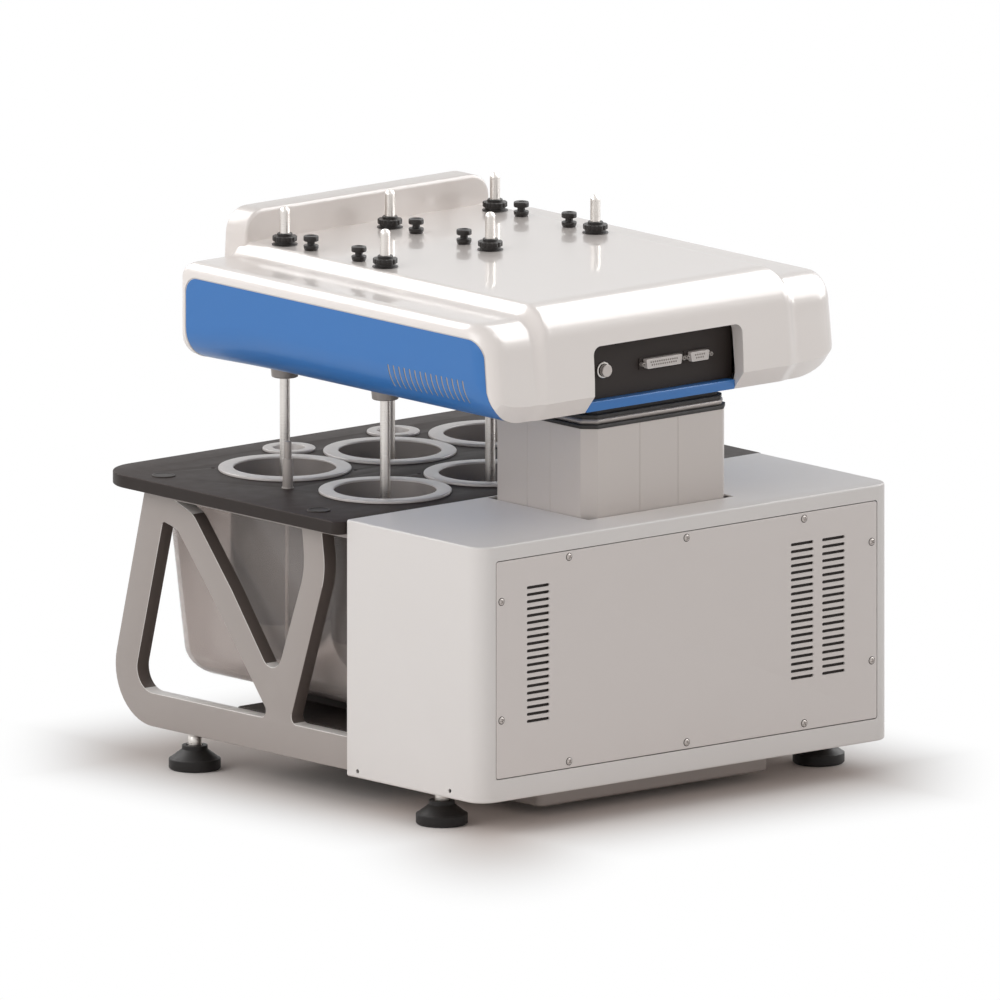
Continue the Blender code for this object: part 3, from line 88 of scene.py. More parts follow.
def node(tree, kind, sockets=(), **settings):
    """Adds a node, with its properties from the keywords and its sockets from the dictionary."""
    made = tree.nodes.new(kind)
    for key, value in settings.items():
        setattr(made, key, value)
    for key, value in dict(sockets).items():
        plug(tree, made.inputs[key], value)
    return made


def maths(tree, operation, first, second=0.0):
    """One sum of two numbers or sockets."""
    return node(tree, "ShaderNodeMath", {0: first, 1: second}, operation=operation).outputs[0]


def group(kind, name, inputs, outputs):
    """A new node group with named sockets: (tree, its inputs, its output node)."""
    tree = bpy.data.node_groups.new(name, kind)
    for label, socket_type, value in inputs:
        made = tree.interface.new_socket(label, in_out="INPUT", socket_type=socket_type)
        if value is not None:
            made.default_value = value
    for label, socket_type in outputs:
        tree.interface.new_socket(label, in_out="OUTPUT", socket_type=socket_type)
    return tree, tree.nodes.new("NodeGroupInput").outputs, tree.nodes.new("NodeGroupOutput")


FLOAT, VECTOR, GEOMETRY = "NodeSocketFloat", "NodeSocketVector", "NodeSocketGeometry"
INTEGER, MATERIAL = "NodeSocketInt", "NodeSocketMaterial"
print("node helpers ready")

# %% [markdown]
# ## Effects that several finishes share
# Each effect is a group that is built once. `Slow drift` is the faint unevenness of any sprayed or
# moulded surface. `Fine skin` is orange peel or the grain of a mould. `Drawn grain` is the line
# pattern that turning or brushing leaves. `Worn and highlit edges` finds the edges that hands
# polish; on the cast frames the pale colour laid there is a painted highlight.
# `Settled dust` finds what faces up.

# %% Slow drift and fine skin
drift_group, given, out = group("ShaderNodeTree", "Slow drift", [("Scale", FLOAT, 6.0)],
                                [("Mask", FLOAT), ("Blotch", FLOAT)])
place = node(drift_group, "ShaderNodeTexCoord").outputs["Object"]
slow = node(drift_group, "ShaderNodeTexNoise", {"Vector": place, "Scale": given["Scale"], "Detail": 3.0})
blotch_scale = maths(drift_group, "MULTIPLY", given["Scale"], 9.0)
blotch = node(drift_group, "ShaderNodeTexNoise", {"Vector": place, "Scale": blotch_scale, "Detail": 5.0})
plug(drift_group, out.inputs["Mask"], slow.outputs["Fac"])
plug(drift_group, out.inputs["Blotch"], blotch.outputs["Fac"])

skin_group, given, out = group("ShaderNodeTree", "Fine skin", [("Scale", FLOAT, 900.0)],
                               [("Height", FLOAT)])
place = node(skin_group, "ShaderNodeTexCoord").outputs["Object"]
cells = node(skin_group, "ShaderNodeTexVoronoi", {"Vector": place, "Scale": given["Scale"]},
             feature="SMOOTH_F1")
fuzz = node(skin_group, "ShaderNodeTexNoise", {"Vector": place, "Scale": given["Scale"], "Detail": 2.0})
plug(skin_group, out.inputs["Height"],
     maths(skin_group, "ADD", cells.outputs["Distance"], fuzz.outputs["Fac"]))
print("groups:", drift_group.name, "and", skin_group.name)

# %% Drawn grain, rubbed edges and settled dust
grain_group, given, out = group("ShaderNodeTree", "Drawn grain",
                                [("Stretch", VECTOR, (1.0, 1.0, 1.0))], [("Line", FLOAT)])
place = node(grain_group, "ShaderNodeTexCoord").outputs["Object"]
pulled = node(grain_group, "ShaderNodeVectorMath", {0: place, 1: given["Stretch"]}, operation="MULTIPLY")
lines = node(grain_group, "ShaderNodeTexNoise",
             {"Vector": pulled.outputs[0], "Scale": 1.0, "Detail": 4.0, "Roughness": 0.7})
plug(grain_group, out.inputs["Line"], lines.outputs["Fac"])

wear_and_highlight_group, given, out = group("ShaderNodeTree", "Worn and highlit edges", [("Width", FLOAT, 0.0008)],
                               [("Mask", FLOAT)])
soft = node(wear_and_highlight_group, "ShaderNodeBevel", {"Radius": given["Width"]}, samples=4)
true = node(wear_and_highlight_group, "ShaderNodeNewGeometry").outputs["Normal"]
along = node(wear_and_highlight_group, "ShaderNodeVectorMath", {0: soft.outputs[0], 1: true}, operation="DOT_PRODUCT")
bent = node(wear_and_highlight_group, "ShaderNodeMapRange",
            {"Value": along.outputs["Value"], "From Min": 1.0, "From Max": 0.8})
plug(wear_and_highlight_group, out.inputs["Mask"], bent.outputs[0])

dust_group, given, out = group("ShaderNodeTree", "Settled dust", [("Amount", FLOAT, 0.1)],
                               [("Mask", FLOAT)])
facing = node(dust_group, "ShaderNodeNewGeometry").outputs["Normal"]
up = node(dust_group, "ShaderNodeSeparateXYZ", {0: facing}).outputs["Z"]
flat = node(dust_group, "ShaderNodeMapRange", {"Value": up, "From Min": 0.7, "From Max": 1.0})
place = node(dust_group, "ShaderNodeTexCoord").outputs["Object"]
specks = node(dust_group, "ShaderNodeTexNoise", {"Vector": place, "Scale": 260.0, "Detail": 6.0})
lying = maths(dust_group, "MULTIPLY", flat.outputs[0], specks.outputs["Fac"])
plug(dust_group, out.inputs["Mask"], maths(dust_group, "MULTIPLY", lying, given["Amount"]))
print("groups:", grain_group.name, wear_and_highlight_group.name, dust_group.name)

# %% [markdown]
# ## Finishes
# One function turns a short description of a finish into a full material: a base colour that
# drifts a little, a roughness that changes from place to place, a relief at the right scale, worn
# edges, which on the cast frames also carry a painted highlight, and dust on top. The numbers for
# each finish come from looking at paint, plastic, rubber and metal, and the colours are written as
# they look on a screen.

# %% The function that makes a finish
DUST = (0.52, 0.50, 0.47, 1.0)


def tone(red, green, blue, factor=1.0):
    """A screen colour from 0 to 255 as the linear colour that a shader takes."""
    def linear(value):
        value = value / 255
        return value / 12.92 if value <= 0.04045 else ((value + 0.055) / 1.055) ** 2.4
    return tuple(min(1.0, linear(v) * factor) for v in (red, green, blue)) + (1.0,)


def effect(tree, shared, output, **values):
    """Places a shared group in a material and returns one of its outputs."""
    made = node(tree, "ShaderNodeGroup", node_tree=shared)
    for key, value in values.items():
        made.inputs[key].default_value = value
    return made.outputs[output]


def mixed(tree, factor, first, second):
    """The colour between two colours."""
    made = node(tree, "ShaderNodeMix", {0: factor, 6: first, 7: second}, data_type="RGBA")
    return made.outputs[2]


def make_finish(name, colour, drift=0.05, scale=6.0, rough=(0.3, 0.4), skin=None, grain=None,
                wear_and_highlight=None, dust=0.0, **shader):
    """A material with drift, relief, worn and highlit edges and dust. shader holds the Principled constants."""
    material = bpy.data.materials.new(name)
    material.use_nodes = True
    tree = material.node_tree
    principled = tree.nodes["Principled BSDF"]
    dark = tuple(c * (1 - drift) for c in colour[:3]) + (1.0,)
    pale = tuple(min(1.0, c * (1 + drift)) for c in colour[:3]) + (1.0,)
    surface = mixed(tree, effect(tree, drift_group, "Mask", Scale=scale), dark, pale)
    if wear_and_highlight:
        surface = mixed(tree, effect(tree, wear_and_highlight_group, "Mask"), surface, wear_and_highlight)
    if dust:
        surface = mixed(tree, effect(tree, dust_group, "Mask", Amount=dust), surface, DUST)
    plug(tree, principled.inputs["Base Color"], surface)
    if grain:
        uneven = effect(tree, grain_group, "Line", Stretch=grain)
    else:
        uneven = effect(tree, drift_group, "Blotch", Scale=scale)
    span = node(tree, "ShaderNodeMapRange", {"Value": uneven, "From Min": 0.3, "From Max": 0.7,
                                             "To Min": rough[0], "To Max": rough[1]})
    plug(tree, principled.inputs["Roughness"], span.outputs[0])
    if skin:
        height = uneven if grain else effect(tree, skin_group, "Height", Scale=skin[0])
        relief = node(tree, "ShaderNodeBump", {"Strength": skin[1], "Distance": skin[2] * MM,
                                               "Height": height})
        plug(tree, principled.inputs["Normal"], relief.outputs[0])
    for key, value in shader.items():
        principled.inputs[key.replace("_", " ")].default_value = value
    return material


print("finish maker ready")

# %% [markdown]
# ### Paint, coating and moulded plastic
# The cabinet is powder coated sheet, with a fine orange peel. The head is a glossy moulding, so a
# clear coat gives the sharp reflection of the rods over a softer base. Knobs and feet are satin
# black plastic, and the seals are matt rubber.

# %% Sprayed and moulded finishes
cabinet_paint = make_finish("cabinet_paint", tone(227, 222, 219), 0.012, 4.0, (0.33, 0.36),
                            (700, 0.12, 0.05), wear_and_highlight=tone(236, 233, 229), dust=0.02,
                            Coat_Weight=0.05, Coat_Roughness=0.12, Specular_IOR_Level=0.2)
panel_paint = make_finish("panel_paint", tone(220, 212, 208), 0.012, 5.0, (0.34, 0.38),
                          (700, 0.12, 0.05), wear_and_highlight=tone(232, 228, 224), dust=0.02)
# The pale edge colour of this paint is a painted highlight along the frames' edges, as well as wear.
casting_paint = make_finish("casting_paint", tone(166, 157, 152), 0.03, 9.0, (0.34, 0.46),
                            (420, 0.25, 0.12), wear_and_highlight=tone(226, 221, 216), dust=0.03)
# A pale copy of the casting paint, laid on the frames' edge faces as a painted highlight.
casting_rim = make_finish("casting_rim", tone(230, 225, 221), 0.03, 12.0, (0.30, 0.40),
                          (420, 0.15, 0.08), wear_and_highlight=tone(240, 236, 232))
# A dark copy of the casting paint, laid on the frames' window walls as painted shade.
casting_inside = make_finish("casting_inside", tone(98, 88, 83), 0.04, 9.0, (0.44, 0.54),
                             (420, 0.25, 0.12), wear_and_highlight=tone(150, 142, 136), Specular_IOR_Level=0.3)
plate_coating = make_finish("plate_coating", tone(58, 49, 46), 0.03, 7.0, (0.50, 0.56),
                            (900, 0.18, 0.06), wear_and_highlight=tone(74, 66, 62), dust=0.0,
                            Specular_IOR_Level=0.12)
white_gloss = make_finish("white_gloss", tone(241, 233, 228), 0.01, 3.0, (0.30, 0.33),
                          (500, 0.02, 0.05), Specular_IOR_Level=0.9, Coat_Weight=0.6,
                          Coat_Roughness=0.05)
# A darker copy of the white gloss for the control housing: painted shade on its leaning faces.
housing_gloss = make_finish("housing_gloss", tone(232, 224, 219), 0.01, 3.0, (0.30, 0.33),
                            (500, 0.02, 0.05), Specular_IOR_Level=0.7, Coat_Weight=0.3,
                            Coat_Roughness=0.05)
blue_gloss = make_finish("blue_gloss", tone(52, 117, 187), 0.03, 3.0, (0.34, 0.42),
                         (800, 0.06, 0.04), wear_and_highlight=tone(84, 137, 198), dust=0.02,
                         Coat_Weight=0.15, Coat_Roughness=0.12, Specular_IOR_Level=0.4)
black_plastic = make_finish("black_plastic", tone(34, 30, 28), 0.10, 20.0, (0.32, 0.42),
                            (1400, 0.2, 0.04), wear_and_highlight=tone(66, 60, 57), dust=0.05,
                            Specular_IOR_Level=0.35)
dark_sheet = make_finish("dark_sheet", tone(48, 41, 38), 0.05, 9.0, (0.46, 0.54),
                         (700, 0.2, 0.06), wear_and_highlight=tone(70, 62, 58), dust=0.02,
                         Specular_IOR_Level=0.2)
seal_rubber = make_finish("seal_rubber", tone(44, 40, 38), 0.10, 30.0, (0.55, 0.70),
                          (1600, 0.3, 0.05), dust=0.14)
foot_rubber = make_finish("foot_rubber", tone(31, 28, 27), 0.10, 24.0, (0.42, 0.56),
                          (1200, 0.3, 0.06), wear_and_highlight=tone(58, 54, 51), dust=0.05,
                          Specular_IOR_Level=0.3)
print("sprayed and moulded finishes:", len(bpy.data.materials))

# %% [markdown]
# ### Metal, clear plastic and glass
# Turned steel keeps rings round its axis, so its grain is squeezed along Z. The column is drawn
# aluminium, whose lines run up it. The bath is milky moulded plastic: part of the light passes
# through it and part is scattered, which is why the vessels look soft behind its wall.

# %% Metal and clear finishes
turned_steel = make_finish("turned_steel", tone(236, 233, 230), 0.02, 30.0, (0.17, 0.23),
                           (0, 0.04, 0.01), grain=(60.0, 60.0, 5200.0), Metallic=1.0)
stud_steel = make_finish("stud_steel", tone(220, 215, 210), 0.06, 60.0, (0.24, 0.40),
                         (0, 0.2, 0.03), grain=(90.0, 90.0, 3000.0), Metallic=1.0)
column_metal = make_finish("column_metal", tone(196, 188, 183), 0.03, 5.0, (0.36, 0.46),
                           (0, 0.10, 0.03), grain=(2600.0, 2600.0, 20.0), dust=0.05, Metallic=0.25)
boss_metal = make_finish("boss_metal", tone(158, 150, 145), 0.05, 22.0, (0.34, 0.46),
                         (900, 0.15, 0.05), wear_and_highlight=tone(190, 184, 178), dust=0.05, Metallic=0.3)
ring_plastic = make_finish("ring_plastic", tone(208, 201, 197), 0.03, 14.0, (0.30, 0.40),
                           (900, 0.08, 0.04), dust=0.05, Coat_Weight=0.2)
vessel_glass = make_finish("vessel_glass", tone(205, 196, 191), 0.03, 12.0, (0.16, 0.24),
                           Transmission_Weight=0.45, IOR=1.15)
# A darker copy of the vessel glass: painted shade on the walls seen through the bath.
vessel_depth = make_finish("vessel_depth", tone(62, 54, 50), 0.03, 12.0, (0.16, 0.24),
                           Transmission_Weight=0.2, IOR=1.15)
bath_plastic = make_finish("bath_plastic", tone(220, 212, 208), 0.02, 5.0, (0.10, 0.14),
                           (300, 0.01, 0.04), Transmission_Weight=0.75, IOR=1.25)
amber_lamp = make_finish("amber_lamp", tone(222, 168, 82), 0.04, 300.0, (0.20, 0.34),
                         (2500, 0.1, 0.01), Coat_Weight=0.6)
screen_glass = make_finish("screen_glass", tone(26, 34, 40), 0.10, 20.0, (0.05, 0.10),
                           (400, 0.01, 0.02), dust=0.04, Coat_Weight=1.0, Coat_Roughness=0.02)
key_film = make_finish("key_film", tone(92, 98, 106), 0.04, 16.0, (0.34, 0.46),
                       (1500, 0.15, 0.03), wear_and_highlight=tone(140, 146, 152), dust=0.05)
dark_gap = make_finish("dark_gap", tone(86, 72, 62), 0.10, 40.0, (0.6, 0.8), (900, 0.2, 0.05))
vent_liner = make_finish("vent_liner", tone(176, 162, 148), 0.08, 30.0, (0.5, 0.7), (900, 0.15, 0.05))
print("all finishes:", len(bpy.data.materials))

# %% [markdown]
# ## Studio
# A floor carries the soft shadow, and the picture's white ground is the floor itself: near the
# instrument it is a matt surface whose colour is darkened as a painted shadow, and further out it
# fades to pure white for the camera, for reflections and through clear plastic. The distance is
# measured from the instrument's footprint, and counts less towards the camera, so the painted
# shadow runs long that way. A big soft lamp on the blue side makes that side the brightest, and
# the world fills the rest, more from the horizon than from above.
# Two small lamps, high on the left and in front, give the cover's rounded edges their bright lines.

# %% Floor, world and lamps
FLOOR_DROP, FLOOR_HALF = 0.0004, 12.0
FOOTPRINT = (0.225, 0.255, 0.0)
ACROSS, TOWARDS = (-0.761, 0.649, 0.0), (0.649, 0.761, 0.0)
FADE_ACROSS, FADE_TOWARDS = 0.16, 0.43
# The darker matt colour near the instrument is a painted shadow, fading out to the floor's white.
FLOOR_SHADOW_TONE, FLOOR_WHITE = (0.82, 0.755, 0.72, 1.0), (0.96, 0.955, 0.95, 1.0)
HORIZON, ZENITH = 0.85, 0.43


def seen_directly(tree):
    """1 for rays of the camera, of reflections and through clear plastic."""
    rays = node(tree, "ShaderNodeLightPath").outputs
    mirror = maths(tree, "MAXIMUM", rays["Is Glossy Ray"], rays["Is Transmission Ray"])
    return maths(tree, "MAXIMUM", rays["Is Camera Ray"], mirror)


floor_mesh = bpy.data.meshes.new("floor")
floor_mesh.from_pydata([(-FLOOR_HALF, -FLOOR_HALF, -FLOOR_DROP), (FLOOR_HALF, -FLOOR_HALF, -FLOOR_DROP),
                        (FLOOR_HALF, FLOOR_HALF, -FLOOR_DROP), (-FLOOR_HALF, FLOOR_HALF, -FLOOR_DROP)],
                       [], [(0, 1, 2, 3)])
floor = bpy.data.objects.new("floor", floor_mesh)
bpy.context.scene.collection.objects.link(floor)
floor_finish = bpy.data.materials.new("floor_white")
floor_finish.use_nodes = True
tree = floor_finish.node_tree
tree.nodes.remove(tree.nodes["Principled BSDF"])
spot = node(tree, "ShaderNodeTexCoord").outputs["Object"]
low_corner = tuple(-side for side in FOOTPRINT)
kept = node(tree, "ShaderNodeVectorMath", {0: spot, 1: FOOTPRINT}, operation="MINIMUM").outputs[0]
kept = node(tree, "ShaderNodeVectorMath", {0: kept, 1: low_corner}, operation="MAXIMUM").outputs[0]
past = node(tree, "ShaderNodeVectorMath", {0: spot, 1: kept}, operation="SUBTRACT").outputs[0]
shares = [maths(tree, "DIVIDE", node(tree, "ShaderNodeVectorMath", {0: past, 1: axis},
                                     operation="DOT_PRODUCT").outputs["Value"], span)
          for axis, span in ((ACROSS, FADE_ACROSS), (TOWARDS, FADE_TOWARDS))]
reach = node(tree, "ShaderNodeCombineXYZ", {"X": shares[0], "Y": shares[1]}).outputs[0]
reach = node(tree, "ShaderNodeVectorMath", {0: reach}, operation="LENGTH").outputs["Value"]
fade = node(tree, "ShaderNodeMapRange", {"Value": reach}, interpolation_type="SMOOTHSTEP").outputs[0]
matt = node(tree, "ShaderNodeBsdfDiffuse", {"Color": mixed(tree, fade, FLOOR_SHADOW_TONE, FLOOR_WHITE)})
white = node(tree, "ShaderNodeEmission", {"Color": (1.0, 1.0, 1.0, 1.0), "Strength": 1.0})
factor = maths(tree, "MULTIPLY", fade, seen_directly(tree))
blend = node(tree, "ShaderNodeMixShader", {0: factor, 1: matt.outputs[0], 2: white.outputs[0]})
plug(tree, tree.nodes["Material Output"].inputs["Surface"], blend.outputs[0])
floor_mesh.materials.append(floor_finish)

world = bpy.data.worlds.new("studio")
bpy.context.scene.world = world
world.use_nodes = True
tree = world.node_tree
tree.nodes.remove(tree.nodes["Background"])
heading = node(tree, "ShaderNodeTexCoord").outputs["Generated"]
rise = node(tree, "ShaderNodeSeparateXYZ", {0: heading}).outputs["Z"]
level = node(tree, "ShaderNodeMapRange", {"Value": rise, "To Min": HORIZON, "To Max": ZENITH}).outputs[0]
fill = node(tree, "ShaderNodeBackground", {"Color": (1.0, 0.995, 0.99, 1.0), "Strength": level})
bright = node(tree, "ShaderNodeBackground", {"Color": (1.0, 1.0, 1.0, 1.0), "Strength": 1.0})
blend = node(tree, "ShaderNodeMixShader",
             {0: seen_directly(tree), 1: fill.outputs[0], 2: bright.outputs[0]})
plug(tree, tree.nodes["World Output"].inputs["Surface"], blend.outputs[0])


def lamp(name, place, size, power, glint=False):
    """A soft square lamp aimed at the instrument. A glint lamp shows in reflections only."""
    data = bpy.data.lights.new(name, "AREA")
    data.shape, data.size, data.energy = "SQUARE", size, power
    made = bpy.data.objects.new(name, data)
    bpy.context.scene.collection.objects.link(made)
    made.location = place
    made.visible_diffuse = not glint
    made.rotation_euler = (Vector((0.0, 0.0, 0.25)) - Vector(place)).to_track_quat("-Z", "Y").to_euler()


lamp("key_lamp", (2.6, -0.3, 1.5), 1.6, 20.0)
lamp("left_glint", (-1.7, 0.55, 1.75), 2.6, 105.0, glint=True)
lamp("front_glint", (0.6, -2.2, 2.0), 1.8, 45.0, glint=True)
bpy.context.scene.view_settings.view_transform = "Standard"
print("studio: floor, world,", len(bpy.data.lights), "lamps")

# %% [markdown]
# ## Shapes from outlines
# Most parts of an instrument are sheets, turnings and blocks. A sheet is an outline with rounded
# corners and holes, filled and given thickness. A turning is a half profile spun round its axis.
# A block is a box with rounded edges. The helpers below make these as plain meshes in their final
# place, so that every finished object can sit at the origin.

# %% Rounded outlines
def rounded(corners, steps=8, closed=True):
    """An outline from corners (a, b) or (a, b, radius), with an arc in place of each corner."""
    points, count = [], len(corners)
    for index, corner in enumerate(corners):
        here = Vector(corner[:2])
        radius = corner[2] if len(corner) > 2 else 0.0
        if radius <= 0 or (not closed and index in (0, count - 1)):
            points.append(tuple(here))
            continue
        before = (Vector(corners[index - 1][:2]) - here).normalized()
        after = (Vector(corners[(index + 1) % count][:2]) - here).normalized()
        half = before.angle(after) / 2
        centre = here + (before + after).normalized() * (radius / math.sin(half))
        first = here + before * (radius / math.tan(half)) - centre
        last = here + after * (radius / math.tan(half)) - centre
        sweep = math.copysign(math.pi - 2 * half, first.x * last.y - first.y * last.x)
        for step in range(steps + 1):
            turn = sweep * step / steps
            points.append((centre.x + first.x * math.cos(turn) - first.y * math.sin(turn),
                           centre.y + first.x * math.sin(turn) + first.y * math.cos(turn)))
    return points


def rectangle(left, right, low, high, radius=0.0, steps=8):
    """A rectangle whose four corners share one radius."""
    corners = [(left, low, radius), (right, low, radius), (right, high, radius), (left, high, radius)]
    return rounded(corners, steps)


def circle(a, b, radius, steps=32):
    """A round hole or disc."""
    turns = [2 * math.pi * step / steps for step in range(steps)]
    return [(a + radius * math.cos(turn), b + radius * math.sin(turn)) for turn in turns]


def area(outline):
    """The signed area of an outline: positive when it runs anticlockwise."""
    ring = zip(outline, outline[1:] + outline[:1])
    return sum(a[0] * b[1] - b[0] * a[1] for a, b in ring) / 2


print("a 10 mm square with 2 mm corners has", len(rectangle(0, 10, 0, 10, 2)), "points")

# %% Meshes from outlines, profiles and boxes
FLAT = Matrix.Identity(4)
FACING_REAR = Matrix(((1, 0, 0, 0), (0, 0, -1, 0), (0, 1, 0, 0), (0, 0, 0, 1)))
FACING_SIDE = Matrix(((0, 0, 1, 0), (1, 0, 0, 0), (0, 1, 0, 0), (0, 0, 0, 1)))
MERGE = 1e-6


def evaluated(holder):
    """The final mesh of an object, whose object is then removed."""
    bpy.context.scene.collection.objects.link(holder)
    graph = bpy.context.evaluated_depsgraph_get()
    mesh = bpy.data.meshes.new_from_object(holder.evaluated_get(graph), preserve_all_data_layers=True,
                                           depsgraph=graph)
    bpy.data.objects.remove(holder)
    return mesh


def from_bmesh(shape, name="shape"):
    """A mesh whose doubles are merged and whose faces point outwards."""
    bmesh.ops.remove_doubles(shape, verts=shape.verts, dist=MERGE)
    bmesh.ops.recalc_face_normals(shape, faces=shape.faces)
    mesh = bpy.data.meshes.new(name)
    shape.to_mesh(mesh)
    shape.free()
    return mesh


def plate(outlines, low, high, edge=0.0, turn=FLAT, edge_steps=3):
    """A sheet with holes between two levels: the first outline is its border, the rest are holes."""
    curve = bpy.data.curves.new("outline", "CURVE")
    curve.dimensions, curve.fill_mode = "2D", "BOTH"
    curve.extrude, curve.bevel_depth = (high - low) / 2 - edge, edge
    curve.bevel_resolution, curve.offset = edge_steps, -edge
    for index, outline in enumerate(outlines):
        if (area(outline) > 0) != (index == 0):
            outline = outline[::-1]
        spline = curve.splines.new("POLY")
        spline.points.add(len(outline) - 1)
        spline.points.foreach_set("co", [c for a, b in outline for c in (a, b, 0.0, 1.0)])
        spline.use_cyclic_u = True
    mesh = evaluated(bpy.data.objects.new("outline", curve))
    bpy.data.curves.remove(curve)
    mesh.transform(turn @ Matrix.Translation((0, 0, (low + high) / 2)))
    shape = bmesh.new()
    shape.from_mesh(mesh)
    return from_bmesh(shape)


def turning(profile, centre=(0.0, 0.0), steps=48, turn=FLAT):
    """A profile of (radius, height) points spun round an upright axis."""
    shape, rings = bmesh.new(), []
    for radius, height in profile:
        count = 1 if radius < MERGE else steps
        rings.append([shape.verts.new((radius * math.cos(2 * math.pi * k / steps),
                                       radius * math.sin(2 * math.pi * k / steps), height))
                      for k in range(count)])
    on_axis = len(rings[0]) == 1 and len(rings[-1]) == 1
    for low, high in zip(rings, rings[1:] + ([] if on_axis else rings[:1])):
        for k in range(steps):
            ring = (low[k % len(low)], low[(k + 1) % len(low)] if len(low) > 1 else low[0],
                    high[(k + 1) % len(high)] if len(high) > 1 else high[0], high[k % len(high)])
            corners = list(dict.fromkeys(ring))
            if len(corners) > 2:
                shape.faces.new(corners)
    bmesh.ops.transform(shape, verts=shape.verts,
                        matrix=Matrix.Translation((centre[0], centre[1], 0)) @ turn)
    return from_bmesh(shape)


def block(low, high, edge=0.0, steps=3):
    """A box with rounded edges."""
    shape = bmesh.new()
    size = Vector(high) - Vector(low)
    middle = (Vector(high) + Vector(low)) / 2
    bmesh.ops.create_cube(shape, size=1.0, matrix=Matrix.Translation(middle) @ Matrix.Diagonal((*size, 1)))
    if edge:
        bmesh.ops.bevel(shape, geom=shape.edges[:], offset=edge, segments=steps, profile=0.5,
                        affect="EDGES", clamp_overlap=True)
    return from_bmesh(shape)


print("shape helpers ready")

# %% Joining, carving and finishing
def joined(meshes):
    """Several meshes in one."""
    shape = bmesh.new()
    for mesh in meshes:
        shape.from_mesh(mesh)
    mesh = bpy.data.meshes.new("joined")
    shape.to_mesh(mesh)
    shape.free()
    return mesh


def carved(mesh, tools, operation="DIFFERENCE"):
    """A mesh with the tools' shapes cut away, or kept, or added."""
    body = bpy.data.objects.new("body", mesh)
    tool = bpy.data.objects.new("tool", joined(tools))
    bpy.context.scene.collection.objects.link(tool)
    cut = body.modifiers.new("cut", "BOOLEAN")
    cut.operation, cut.solver, cut.object = operation, "EXACT", tool
    result = evaluated(body)
    bpy.data.objects.remove(tool)
    shape = bmesh.new()
    shape.from_mesh(result)
    return from_bmesh(shape)


def assemble(name, body, parts, replaces=(), angle=32):
    """A finished object from (mesh, finish) pairs, which rides on a body of the frame."""
    shape, finishes = bmesh.new(), []
    for mesh, finish in parts:
        if finish not in finishes:
            finishes.append(finish)
        before = len(shape.faces)
        shape.from_mesh(mesh)
        shape.faces.ensure_lookup_table()
        for face in shape.faces[before:]:
            face.material_index = finishes.index(finish)
    mesh = bpy.data.meshes.new(name)
    shape.to_mesh(mesh)
    shape.free()
    for finish in finishes:
        mesh.materials.append(finish)
    mesh.shade_smooth()
    mesh.set_sharp_from_angle(angle=math.radians(angle))
    piece = bpy.data.objects.new(name, mesh)
    bpy.context.scene.collection.objects.link(piece)
    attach(piece, body)
    if replaces:
        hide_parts(*replaces)
    print(f"{name}: {len(mesh.polygons)} faces on {body}")
    return piece

# %% [markdown]
# ## Setting out what repeats
# Screws, knobs, slots, pins and keys are one finished shape that is set out many times. Geometry
# Nodes do that well: the input's points say where, a line of copies can run from each point, and
# every copy turns to face along an axis. The tree ends as a plain mesh with its material.

# %% The tree that sets out copies
setting_tree, given, out = group(
    "GeometryNodeTree", "Set out copies",
    [("Points", GEOMETRY, None), ("Piece", "NodeSocketObject", None), ("Axis", VECTOR, (0, 0, 1)),
     ("Count", INTEGER, 1), ("Step", VECTOR, (0, 0, 0)), ("Loose turn", FLOAT, 0.0),
     ("Seed", INTEGER, 1), ("Finish", MATERIAL, None)], [("Geometry", GEOMETRY)])
line = node(setting_tree, "GeometryNodeMeshLine", {"Count": given["Count"], "Offset": given["Step"]},
            mode="OFFSET").outputs[0]
started = node(setting_tree, "GeometryNodeInstanceOnPoints",
               {"Points": given["Points"], "Instance": line}).outputs[0]
points = node(setting_tree, "GeometryNodeRealizeInstances", {0: started}).outputs[0]
turn_range = node(setting_tree, "ShaderNodeCombineXYZ", {"Z": given["Loose turn"]}).outputs[0]
chance = node(setting_tree, "FunctionNodeRandomValue", {1: turn_range, "Seed": given["Seed"]},
              data_type="FLOAT_VECTOR").outputs[0]
facing = node(setting_tree, "FunctionNodeAlignRotationToVector", {"Vector": given["Axis"]}, axis="Z")
loose = node(setting_tree, "FunctionNodeRotateRotation", {0: facing.outputs[0], 1: chance},
             rotation_space="LOCAL")
shape = node(setting_tree, "GeometryNodeObjectInfo", {"Object": given["Piece"]},
             transform_space="ORIGINAL").outputs["Geometry"]
copies = node(setting_tree, "GeometryNodeInstanceOnPoints",
              {"Points": points, "Instance": shape, "Rotation": loose.outputs[0]}).outputs[0]
solid = node(setting_tree, "GeometryNodeRealizeInstances", {0: copies}).outputs[0]
finished = node(setting_tree, "GeometryNodeSetMaterial", {0: solid, "Material": given["Finish"]})
plug(setting_tree, out.inputs[0], finished.outputs[0])


def grown(tree, mesh, **values):
    """The mesh that a geometry tree makes from a mesh, with its inputs given by name."""
    holder = bpy.data.objects.new("holder", mesh)
    modifier = holder.modifiers.new("tree", "NODES")
    modifier.node_group = tree
    for item in tree.interface.items_tree:
        key = item.name.replace(" ", "_")
        if item.in_out == "INPUT" and key in values:
            modifier[item.identifier] = values[key]
    return evaluated(holder)


def set_out(piece, places, finish, axis=(0, 0, 1), **values):
    """Copies of a mesh at the places, as one mesh with the finish."""
    template = bpy.data.objects.new("template", piece)
    dots = bpy.data.meshes.new("dots")
    dots.from_pydata([tuple(p) for p in places], [], [])
    mesh = grown(setting_tree, dots, Piece=template, Axis=tuple(map(float, axis)), Finish=finish, **values)
    bpy.data.objects.remove(template)
    return mesh


print("tree:", setting_tree.name)

# %% [markdown]
# ## Small fixings
# A pan-head screw is a low dome with a cross recess. It is turned from a profile, and the cross is
# cut out of it. The slot cutter is a flat prism with round ends, for vents.

